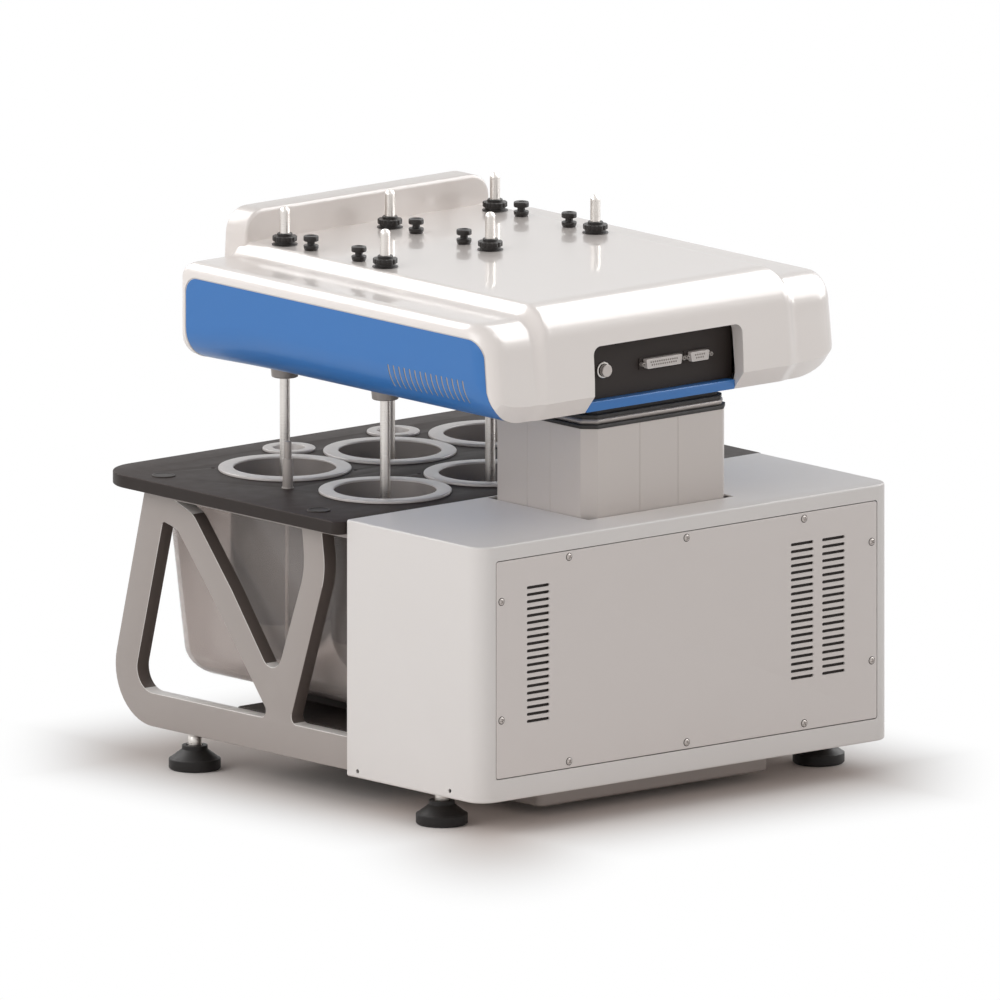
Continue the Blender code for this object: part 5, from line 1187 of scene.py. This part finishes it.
def behind_vents(side):
    """A curved strip just under the lower shell's surface, which closes the slots."""
    centre, radius = HEAD["half"] - UNDER_ROUND, UNDER_ROUND - BLUE_SINK
    turns = [math.radians(-3 - 67 * k / 10) for k in range(11)]
    line = [(side * (centre + r * math.cos(t)), HEAD["low"] + UNDER_ROUND + r * math.sin(t))
            for r, row in ((radius - SLIT_DEPTH, turns), (radius - HEAD_WALL, turns[::-1])) for t in row]
    return upright([line], SLIT_FIRST - 0.006, SLIT_FIRST + SLIT_PITCH * SLIT_COUNT)


backing = joined([behind_vents(-1), behind_vents(1)])
assemble("head_lower_casing", "head", [(lower, blue_gloss), (backing, vent_liner)],
         ["head_lower_shell"], 40)
# %% [markdown]
# ## Control housing
# Across the front of the deck stands a low housing. Its outline is a wide arch with large corners,
# its edges are softly rounded, and its front leans back for the reader. It is made upright, as a
# thick sheet, and then every point is shifted back in step with its height and its depth.

# %% Housing that leans back
HOUSING = dict(half=0.157, low=0.400, high=0.5400, front=-0.2350, rear=-0.1950, corner=0.024, lean=0.010)
HOUSING_EDGE, HOUSING_SEAT, FASCIA_DEPTH = 0.0040, 0.4880, 0.0012
FASCIA = dict(half=0.140, low=0.0110, high=0.1240, corner=0.006)


def leaned(mesh):
    """Shifts the front of a mesh back as it rises, and leaves its rear where it is."""
    for point in mesh.vertices:
        share = (HOUSING["rear"] - point.co.y) / (HOUSING["rear"] - HOUSING["front"])
        rise = (point.co.z - HOUSING["low"]) / (HOUSING["high"] - HOUSING["low"])
        point.co.y += HOUSING["lean"] * share * rise
    return mesh


def on_slope(mesh):
    """Puts a mesh made flat, x across and y upwards, on the housing's leaning front."""
    tilt = math.atan2(HOUSING["lean"], HOUSING["high"] - HOUSING["low"])
    foot = Matrix.Translation((0, HOUSING["front"], HOUSING["low"]))
    mesh.transform(foot @ Matrix.Rotation(math.pi / 2 - tilt, 4, "X"))
    return mesh


arch = rounded([(-HOUSING["half"], HOUSING["low"], 0.006), (HOUSING["half"], HOUSING["low"], 0.006),
                (HOUSING["half"], HOUSING["high"], HOUSING["corner"]),
                (-HOUSING["half"], HOUSING["high"], HOUSING["corner"])], 16)
housing = leaned(upright([arch], HOUSING["front"], HOUSING["rear"], HOUSING_EDGE, 5))
behind = block((-0.2, HEAD["front"] + 0.0003, 0.39), (0.2, -0.19, HOUSING_SEAT))
recess = on_slope(plate([rectangle(-FASCIA["half"], FASCIA["half"], FASCIA["low"], FASCIA["high"],
                                   FASCIA["corner"])], -FASCIA_DEPTH, 0.004))
housing = carved(carved(housing, [behind]), [recess])
assemble("control_housing", "head", [(housing, housing_gloss)], ["control_panel"], 40)

# %% Fascia with its display and keys
KEY, KEY_HEIGHT, KEY_STEP = (0.0130, 0.0105), 0.0011, (0.0172, 0.0170)
KEYPAD_CORNER, KEY_ROWS, KEY_COLUMNS = (0.0480, 0.0300), 4, 4
SCREEN = dict(left=-0.122, right=0.018, low=0.038, high=0.108)
SOFT_KEYS, SOFT_KEY_STEP, SOFT_KEY_HEIGHT = 5, 0.0278, 0.0240


def key(width, height):
    """A low domed key, made flat on Z = 0."""
    return plate([rectangle(-width / 2, width / 2, -height / 2, height / 2, 0.002, 4)],
                 -0.0006, KEY_HEIGHT, 0.0005)


def lettered(text, size, place):
    """A flat raised figure, centred on a place."""
    curve = bpy.data.curves.new("figure", "FONT")
    curve.body, curve.size, curve.extrude = text, size, 0.00012
    curve.align_x, curve.align_y = "CENTER", "CENTER"
    mesh = evaluated(bpy.data.objects.new("figure", curve))
    mesh.transform(Matrix.Translation((*place, 0.0)))
    return mesh


film = plate([rectangle(-FASCIA["half"] + 0.0003, FASCIA["half"] - 0.0003, FASCIA["low"] + 0.0003,
                        FASCIA["high"] - 0.0003, FASCIA["corner"] - 0.0003)], -FASCIA_DEPTH + 0.0002, 0.0, 0.0002)
bezel_line = rectangle(SCREEN["left"] - 0.004, SCREEN["right"] + 0.004, SCREEN["low"] - 0.004,
                       SCREEN["high"] + 0.004, 0.003)
window_line = rectangle(SCREEN["left"], SCREEN["right"], SCREEN["low"], SCREEN["high"], 0.0015)
bezel = plate([bezel_line, window_line], -0.0003, 0.0012, 0.0004)
window = plate([window_line], -0.0003, 0.0003)
columns = [(KEYPAD_CORNER[0], KEYPAD_CORNER[1] + row * KEY_STEP[1], 0.0) for row in range(KEY_ROWS)]
number_keys = set_out(key(*KEY), columns, panel_paint, Count=KEY_COLUMNS, Step=(KEY_STEP[0], 0.0, 0.0))
soft_keys = set_out(key(0.020, 0.009), [(SCREEN["left"] + 0.0144, SOFT_KEY_HEIGHT, 0.0)], blue_gloss,
                    Count=SOFT_KEYS, Step=(SOFT_KEY_STEP, 0.0, 0.0))
lamps = set_out(turning([(0, -0.0005), (0.0014, -0.0005)] + rounded([(0.0014, 0.0007), (0.001, 0.0012, 0.0006),
                        (0, 0.0013)], 4, False), steps=16), [(KEYPAD_CORNER[0], 0.104, 0.0)], amber_lamp,
                Count=4, Step=(KEY_STEP[0], 0.0, 0.0))
FIGURES = ["0", "", "", "", "1", "2", "3", "", "4", "5", "6", "", "7", "8", "9", ""]
figures = [lettered(text, 0.0075, (KEYPAD_CORNER[0] + index % KEY_COLUMNS * KEY_STEP[0],
                                   KEYPAD_CORNER[1] + index // KEY_COLUMNS * KEY_STEP[1]))
           for index, text in enumerate(FIGURES) if text]
figures = joined(figures)
figures.transform(Matrix.Translation((0, 0, KEY_HEIGHT)))
fascia = [(on_slope(mesh), finish) for mesh, finish in (
    (film, key_film), (bezel, black_plastic), (window, screen_glass), (number_keys, panel_paint),
    (soft_keys, blue_gloss), (lamps, amber_lamp), (figures, dark_gap))]
assemble("control_fascia", "head", fascia, ["keypad_membrane"])

# %% [markdown]
# ## Connector bay
# In the bay at the rear, a black plate carries a push button and two connectors with slanted
# shells, with 25 and 9 contacts. Each has two hexagonal posts for the plug's screws. The contact
# holes stand in two rows, so a line of copies sets them out.

# %% Connector plate
BAY_PLATE = dict(half=0.0985, low=0.4069, high=0.4667, rear=0.2373, thick=0.0020)
CONNECTOR_HEIGHT, CONNECTOR_DEPTH, SHELL_WALL = 0.0095, 0.0060, 0.0006
CONNECTOR_LEVEL, BUTTON_X, BUTTON_HOLE = 0.4347, 0.0666, 0.0045
CONNECTORS = {"connector_25": (-0.0070, 0.046, 13), "connector_9": (-0.0530, 0.024, 5)}
bay_plate = upright([rectangle(-BAY_PLATE["half"], BAY_PLATE["half"], BAY_PLATE["low"], BAY_PLATE["high"]),
                     circle(BUTTON_X, CONNECTOR_LEVEL, BUTTON_HOLE, 24)],
                    BAY_PLATE["rear"] - BAY_PLATE["thick"], BAY_PLATE["rear"])
assemble("connector_plate", "head", [(bay_plate, dark_sheet)], ["connector_panel"])


def facing_rear(profile, x, z, steps=32):
    """A turning whose axis points to the rear; its heights are measured from the bay's plate."""
    mesh = turning([(radius, -height) for radius, height in profile], steps=steps, turn=FACING_REAR)
    mesh.transform(Matrix.Translation((x, BAY_PLATE["rear"], z)))
    return mesh


def slanted(x, width, shrink):
    """The outline of a connector, wider at its top than at its foot."""
    half, rise = width / 2 - shrink, CONNECTOR_HEIGHT / 2 - shrink
    return rounded([(x - half + 0.0015, CONNECTOR_LEVEL - rise, 0.0012),
                    (x + half - 0.0015, CONNECTOR_LEVEL - rise, 0.0012),
                    (x + half, CONNECTOR_LEVEL + rise, 0.0012), (x - half, CONNECTOR_LEVEL + rise, 0.0012)], 4)


# %% Two connectors with contacts and posts
POST_RADIUS, POST_STAND, POST_AHEAD, FLANGE_PAST = 0.0021, 0.0052, 0.0030, 0.0052
CONTACT_PITCH, ROW_GAP = 0.00277, 0.0029
post = turning(rounded([(0, 0), (POST_RADIUS, 0), (POST_RADIUS, POST_STAND, 0.0003), (0.0013, POST_STAND),
                        (0.0013, POST_STAND - 0.003), (0, POST_STAND - 0.003)], 3, False), steps=6)
contact = turning([(0, -0.0004), (0.00085, -0.0004), (0.00085, 0.00015), (0.00045, 0.0002),
                   (0.0004, -0.0003), (0, -0.0003)], steps=10)
for name, (x, width, count) in CONNECTORS.items():
    face = BAY_PLATE["rear"]
    flange = upright([rectangle(x - width / 2 - FLANGE_PAST, x + width / 2 + FLANGE_PAST,
                                CONNECTOR_LEVEL - 0.0058, CONNECTOR_LEVEL + 0.0058, 0.0015)],
                     face + 0.0001, face + 0.0011, 0.0003)
    skirt = upright([slanted(x, width, 0.0), slanted(x, width, SHELL_WALL)], face + 0.0008,
                    face + CONNECTOR_DEPTH + 0.0003, 0.00012)
    insert = upright([slanted(x, width, SHELL_WALL)], face + 0.0008, face + CONNECTOR_DEPTH - 0.0003)
    row_starts = [(x - (points - 1) / 2 * CONTACT_PITCH, face + CONNECTOR_DEPTH - 0.0003,
                   CONNECTOR_LEVEL + side * ROW_GAP / 2) for points, side in ((count, 1), (count - 1, -1))]
    rows = [set_out(contact, [start], dark_gap, (0, 1, 0), Count=points, Step=(CONTACT_PITCH, 0.0, 0.0))
            for start, points in zip(row_starts, (count, count - 1))]
    posts = set_out(post, [(x + side * (width / 2 + POST_AHEAD), face + 0.0008, CONNECTOR_LEVEL)
                           for side in (-1, 1)], boss_metal, (0, 1, 0))
    assemble(f"{name}_pin", "head", [(skirt, panel_paint), (flange, dark_sheet), (insert, ring_plastic),
                                     (joined(rows), dark_gap), (posts, boss_metal)], [name])

# %% Push button
REST, STEM_RADIUS, STEM_LENGTH, CAP_RADIUS, CAP_TOP = 0.0023, 0.0040, 0.0080, 0.00625, 0.0068
cap = rounded([(0, -STEM_LENGTH), (STEM_RADIUS, -STEM_LENGTH), (STEM_RADIUS, REST), (CAP_RADIUS, REST, 0.0003),
               (CAP_RADIUS, CAP_TOP, 0.0008), (CAP_RADIUS * 0.72, CAP_TOP - 0.00005), (0, CAP_TOP - 0.0006)],
              4, False)
collar = [(0.0066, 0.0001), (0.0081, 0.0001), (0.0081, 0.0010), (0.0074, 0.0016), (0.0066, 0.0016)]
assemble("start_button", "button", [(facing_rear(cap, BUTTON_X, CONNECTOR_LEVEL), column_metal)],
         ["reset_button"])
assemble("button_collar", "head", [(facing_rear(collar, BUTTON_X, CONNECTOR_LEVEL), stud_steel)])
# %% [markdown]
# ## Spindles
# Six hollow spindles hang in the bearing plate. Each has a black gripping knob above the deck, and
# a toothed pulley below it that the belt drives. A paddle's polished shaft slides through each. The
# knobs and pulleys are stacks of lobed sheets and turnings round one bore.

# %% Bearing plate with its bosses
BORE, TUBE, BOSS_LOW = 0.0055, 0.0080, 0.3780
BEARING_PLATE = dict(half=0.1756, front=-0.1810, rear=0.2250, low=0.3998, high=0.4078, corner=0.012)
chassis = plate([rectangle(-BEARING_PLATE["half"], BEARING_PLATE["half"], BEARING_PLATE["front"],
                           BEARING_PLATE["rear"], BEARING_PLATE["corner"])]
                + [circle(x, y, TUBE + 0.0005, 32) for x, y in SPINDLES],
                BEARING_PLATE["low"], BEARING_PLATE["high"], 0.0005)
boss = [(TUBE + 0.0005, BOSS_LOW)] + rounded(
    [(TUBE + 0.0005, BOSS_LOW), (0.01300, BOSS_LOW, 0.0012), (0.01345, 0.3830), (0.0149, 0.3966),
     (0.0149, BEARING_PLATE["low"] - 0.0001), (TUBE + 0.0005, BEARING_PLATE["low"] - 0.0001)], 5, False)[1:]
bosses = [turning(boss, place, 64) for place in SPINDLES]
assemble("bearing_carrier", "head", [(chassis, column_metal), (joined(bosses), boss_metal)],
         ["bearing_plate"])


# %% Knobs and pulleys
def lobed(radius, depth, count, steps=12):
    """A circle with shallow grooves round it, for a grip or for a pulley's teeth."""
    points = []
    for k in range(count * steps):
        turn = 2 * math.pi * k / (count * steps)
        reach = radius - depth * max(0.0, math.cos(count * turn)) ** 2
        points.append((reach * math.cos(turn), reach * math.sin(turn)))
    return points


def shifted(mesh, x, y):
    """A copy of a mesh moved across the deck."""
    copy = mesh.copy()
    copy.transform(Matrix.Translation((x, y, 0)))
    return copy


KNOB = dict(skirt=0.01275, skirt_top=0.0009, body=0.0100, grip_low=0.0038, grip_high=0.0089, grip=0.0121,
            hub=0.0075, top=0.0116)
PULLEY_LOW, PULLEY_HIGH, PULLEY_FLANGE, TEETH = 0.4705, 0.4795, 0.0010, 20
deck = HEAD["deck"]
bore_line = circle(0, 0, BORE, 32)
tube = turning(rounded([(BORE, BOSS_LOW), (TUBE, BOSS_LOW, 0.0004), (TUBE, deck + 0.0003), (BORE, deck + 0.0003)],
                       3, False))
knob_core = turning([(BORE, deck + 0.0003)] + rounded(
    [(BORE, deck + 0.0003), (KNOB["skirt"], deck + 0.0003), (KNOB["skirt"], deck + KNOB["skirt_top"], 0.0003),
     (KNOB["body"], deck + 0.0014), (KNOB["body"], deck + KNOB["grip_low"] + 0.0004),
     (KNOB["hub"] - 0.0004, deck + KNOB["grip_low"] + 0.0004)], 3, False)[1:]
    + rounded([(KNOB["hub"] - 0.0004, deck + KNOB["grip_high"] - 0.001), (KNOB["hub"], deck + KNOB["grip_high"] - 0.001),
               (KNOB["hub"], deck + KNOB["top"], 0.0008), (BORE, deck + KNOB["top"])], 5, False))
grip = plate([lobed(KNOB["grip"], 0.0007, 12, 8), bore_line], deck + KNOB["grip_low"], deck + KNOB["grip_high"],
             0.0008)
teeth = plate([lobed(0.0148, 0.0009, TEETH, 4), bore_line], PULLEY_LOW + PULLEY_FLANGE,
              PULLEY_HIGH - PULLEY_FLANGE)
flange_low = plate([circle(0, 0, 0.0150, 48), bore_line], PULLEY_LOW, PULLEY_LOW + PULLEY_FLANGE, 0.0002)
flange_high = plate([circle(0, 0, 0.0150, 48), bore_line], PULLEY_HIGH - PULLEY_FLANGE, PULLEY_HIGH, 0.0002)
for number, place in enumerate(SPINDLES, 1):
    black = joined([shifted(mesh, *place) for mesh in (knob_core, grip)])
    metal = joined([shifted(mesh, *place) for mesh in (tube, teeth, flange_low, flange_high)])
    assemble(f"spindle_{number}_knob", f"spindle_{number}", [(black, black_plastic), (metal, column_metal)],
             [f"chuck_{number}"])

# %% [markdown]
# ## Paddles
# A paddle is a polished rod with a round tip, and a flat blade at its foot that stirs the vessel.
# The blade is wider above than below, and its lower corners follow the vessel's round bottom.

# %% Paddle shafts with their blades
ROD, TIP = 0.0050, 0.5474
BLADE = dict(low=0.1240, high=0.1430, foot=0.0210, head=0.03725, thick=0.0040, hub=0.0075, hub_high=0.1500)
tip_arc = [(ROD * math.sin(turn), TIP - ROD * (1 - math.cos(turn)))
           for turn in (math.pi / 2 * k / 12 for k in range(13))]
rod_profile = [(0, BLADE["low"] + 0.002), (ROD, BLADE["low"] + 0.002)] + tip_arc[::-1]
rod = turning(rod_profile, steps=40)
blade = upright([rounded([(-BLADE["foot"], BLADE["low"], 0.009), (BLADE["foot"], BLADE["low"], 0.009),
                          (BLADE["head"], BLADE["high"], 0.0018), (-BLADE["head"], BLADE["high"], 0.0018)], 8)],
                -BLADE["thick"] / 2, BLADE["thick"] / 2, 0.0006)
hub = turning(rounded([(0, BLADE["low"] + 0.001), (BLADE["hub"] - 0.001, BLADE["low"] + 0.001, 0.0008),
                       (BLADE["hub"] - 0.001, BLADE["hub_high"], 0.001), (0, BLADE["hub_high"])], 4, False), steps=32)
for number, place in enumerate(SPINDLES, 1):
    stirrer = joined([shifted(mesh, *place) for mesh in (rod, blade, hub)])
    assemble(f"paddle_{number}_stirrer", f"paddle_{number}", [(stirrer, stud_steel)],
             [f"paddle_shaft_{number}"])

# %% [markdown]
# ## Port plugs
# Between the spindles, a black plug closes each sampling port. It is a spool: a lower disc that
# narrows to the deck, a neck to pull it by, and an upper disc with a shallow dish.

# %% Plugs
PLUG = [(0, -0.008), (0.0045, -0.008, 0.0006), (0.0045, 0.0003), (0.0064, 0.0003), (0.0074, 0.0030, 0.0006),
        (0.0074, 0.0055, 0.0007), (0.00385, 0.0056, 0.0003), (0.00385, 0.0093, 0.0003), (0.0074, 0.0093, 0.0007),
        (0.0074, 0.0146, 0.0009), (0.0050, 0.0146, 0.0004), (0.0044, 0.0139), (0, 0.0138)]
plug_core = turning([(radius, deck + height) for radius, height in rounded(PLUG, 4, False)], steps=40)
grooves = [plate([lobed(0.0075, 0.0006, 10, 8), circle(0, 0, 0.0060, 32)], deck + low, deck + high, 0.0005)
           for low, high in ((0.0036, 0.0053), (0.0098, 0.0136))]
for number, place in enumerate(PLUGS, 1):
    spool = joined([shifted(mesh, *place) for mesh in (plug_core, *grooves)])
    assemble(f"port_{number}_stopper", f"plug_{number}", [(spool, black_plastic)],
             [f"port_plug_{number}"])

# %% [markdown]
# ## Mains inlet
# On the side that the main view hides, a black module holds the mains inlet and a rocker switch.
# The socket has two chamfered corners and three blades. The rocker tilts about an axis across its
# pocket, and is a short prism with a slightly hollow face. A bar and a ring mark its two ends.

# %% Inlet module
INLET = dict(face=-0.2678, wall=-0.2653, back=-0.2350, y=0.215, z=0.093, half=0.022, rise=0.027, lip=0.003)
SOCKET = dict(half=0.0135, rise=0.0095, z=0.081, depth=0.018, chamfer=0.005)
POCKET = dict(half=0.0115, rise=0.0087, z=0.107, depth=0.012)


def inlet_line(grow, radius):
    """The module's outline seen from the side."""
    return rectangle(INLET["y"] - INLET["half"] - grow, INLET["y"] + INLET["half"] + grow,
                     INLET["z"] - INLET["rise"] - grow, INLET["z"] + INLET["rise"] + grow, radius)


left, right = INLET["y"] - SOCKET["half"], INLET["y"] + SOCKET["half"]
foot, crown = SOCKET["z"] - SOCKET["rise"], SOCKET["z"] + SOCKET["rise"]
socket_line = rounded([(left, foot, 0.001), (right, foot, 0.001), (right, crown - SOCKET["chamfer"], 0.001),
                       (right - SOCKET["chamfer"], crown, 0.001), (left + SOCKET["chamfer"], crown, 0.001),
                       (left, crown - SOCKET["chamfer"], 0.001)], 4)
pocket_line = rectangle(INLET["y"] - POCKET["half"], INLET["y"] + POCKET["half"], POCKET["z"] - POCKET["rise"],
                        POCKET["z"] + POCKET["rise"], 0.001)
module = carved(sideways([inlet_line(INLET["lip"], 0.004)], INLET["face"], INLET["wall"], 0.0007),
                [sideways([inlet_line(-0.0001, 0.002)], INLET["face"] + 0.0012, INLET["back"])], "UNION")
module = carved(module, [sideways([socket_line], INLET["face"] - 0.002, INLET["face"] + SOCKET["depth"])])
module = carved(module, [sideways([pocket_line], INLET["face"] - 0.002, INLET["face"] + POCKET["depth"])])
blades = [block((INLET["face"] + 0.004, INLET["y"] + shift - wide, SOCKET["z"] + rise - high),
                (INLET["face"] + SOCKET["depth"] + 0.001, INLET["y"] + shift + wide, SOCKET["z"] + rise + high), 0.0005)
          for shift, rise in ((0.0, 0.003), (-0.007, -0.002), (0.007, -0.002)) for wide, high in ((0.001, 0.002),)]
assemble("mains_inlet_module", "base", [(module, black_plastic), (joined(blades), stud_steel)],
         ["mains_inlet"])

# %% Rocker
ROCKER = dict(half=0.0070, stand=0.0030, waist=0.0015, width=0.0220, tilt=math.radians(7))
round_back = [(ROCKER["half"] * math.sin(turn), -ROCKER["half"] * math.cos(turn))
              for turn in (math.pi * k / 16 for k in range(1, 16))]
rocker_line = rounded([(-ROCKER["stand"], -ROCKER["half"], 0.0006), (0, -ROCKER["half"])] + round_back
                      + [(0, ROCKER["half"]), (-ROCKER["stand"], ROCKER["half"], 0.0006),
                         (-ROCKER["waist"], 0, 0.010)], 5)
rocker = upright([rocker_line], -ROCKER["width"] / 2, ROCKER["width"] / 2, 0.0004)
face_slope = math.atan2(ROCKER["stand"] - ROCKER["waist"], ROCKER["half"])


def mark(outlines, side):
    """A thin mark on the upper or the lower half of the rocker's face."""
    mesh = plate(outlines, -0.0003, 0.0002, turn=FACING_SIDE)
    mesh.transform(Matrix.Translation((-(ROCKER["stand"] + ROCKER["waist"]) / 2, 0, side * ROCKER["half"] / 2))
                   @ Matrix.Rotation(side * -face_slope, 4, "Y"))
    return mesh


marks = joined([mark([circle(0, 0, 0.0017), circle(0, 0, 0.0012)], -1),
                mark([rectangle(-0.0003, 0.0003, -0.0016, 0.0016)], 1)])
seat = (Matrix.Translation((INLET["face"], INLET["y"], POCKET["z"]))
        @ Matrix.Rotation(-ROCKER["tilt"], 4, "Y"))
for mesh in (rocker, marks):
    mesh.transform(seat)
assemble("rocker_switch", "switch", [(rocker, black_plastic), (marks, white_gloss)],
         ["power_switch"])
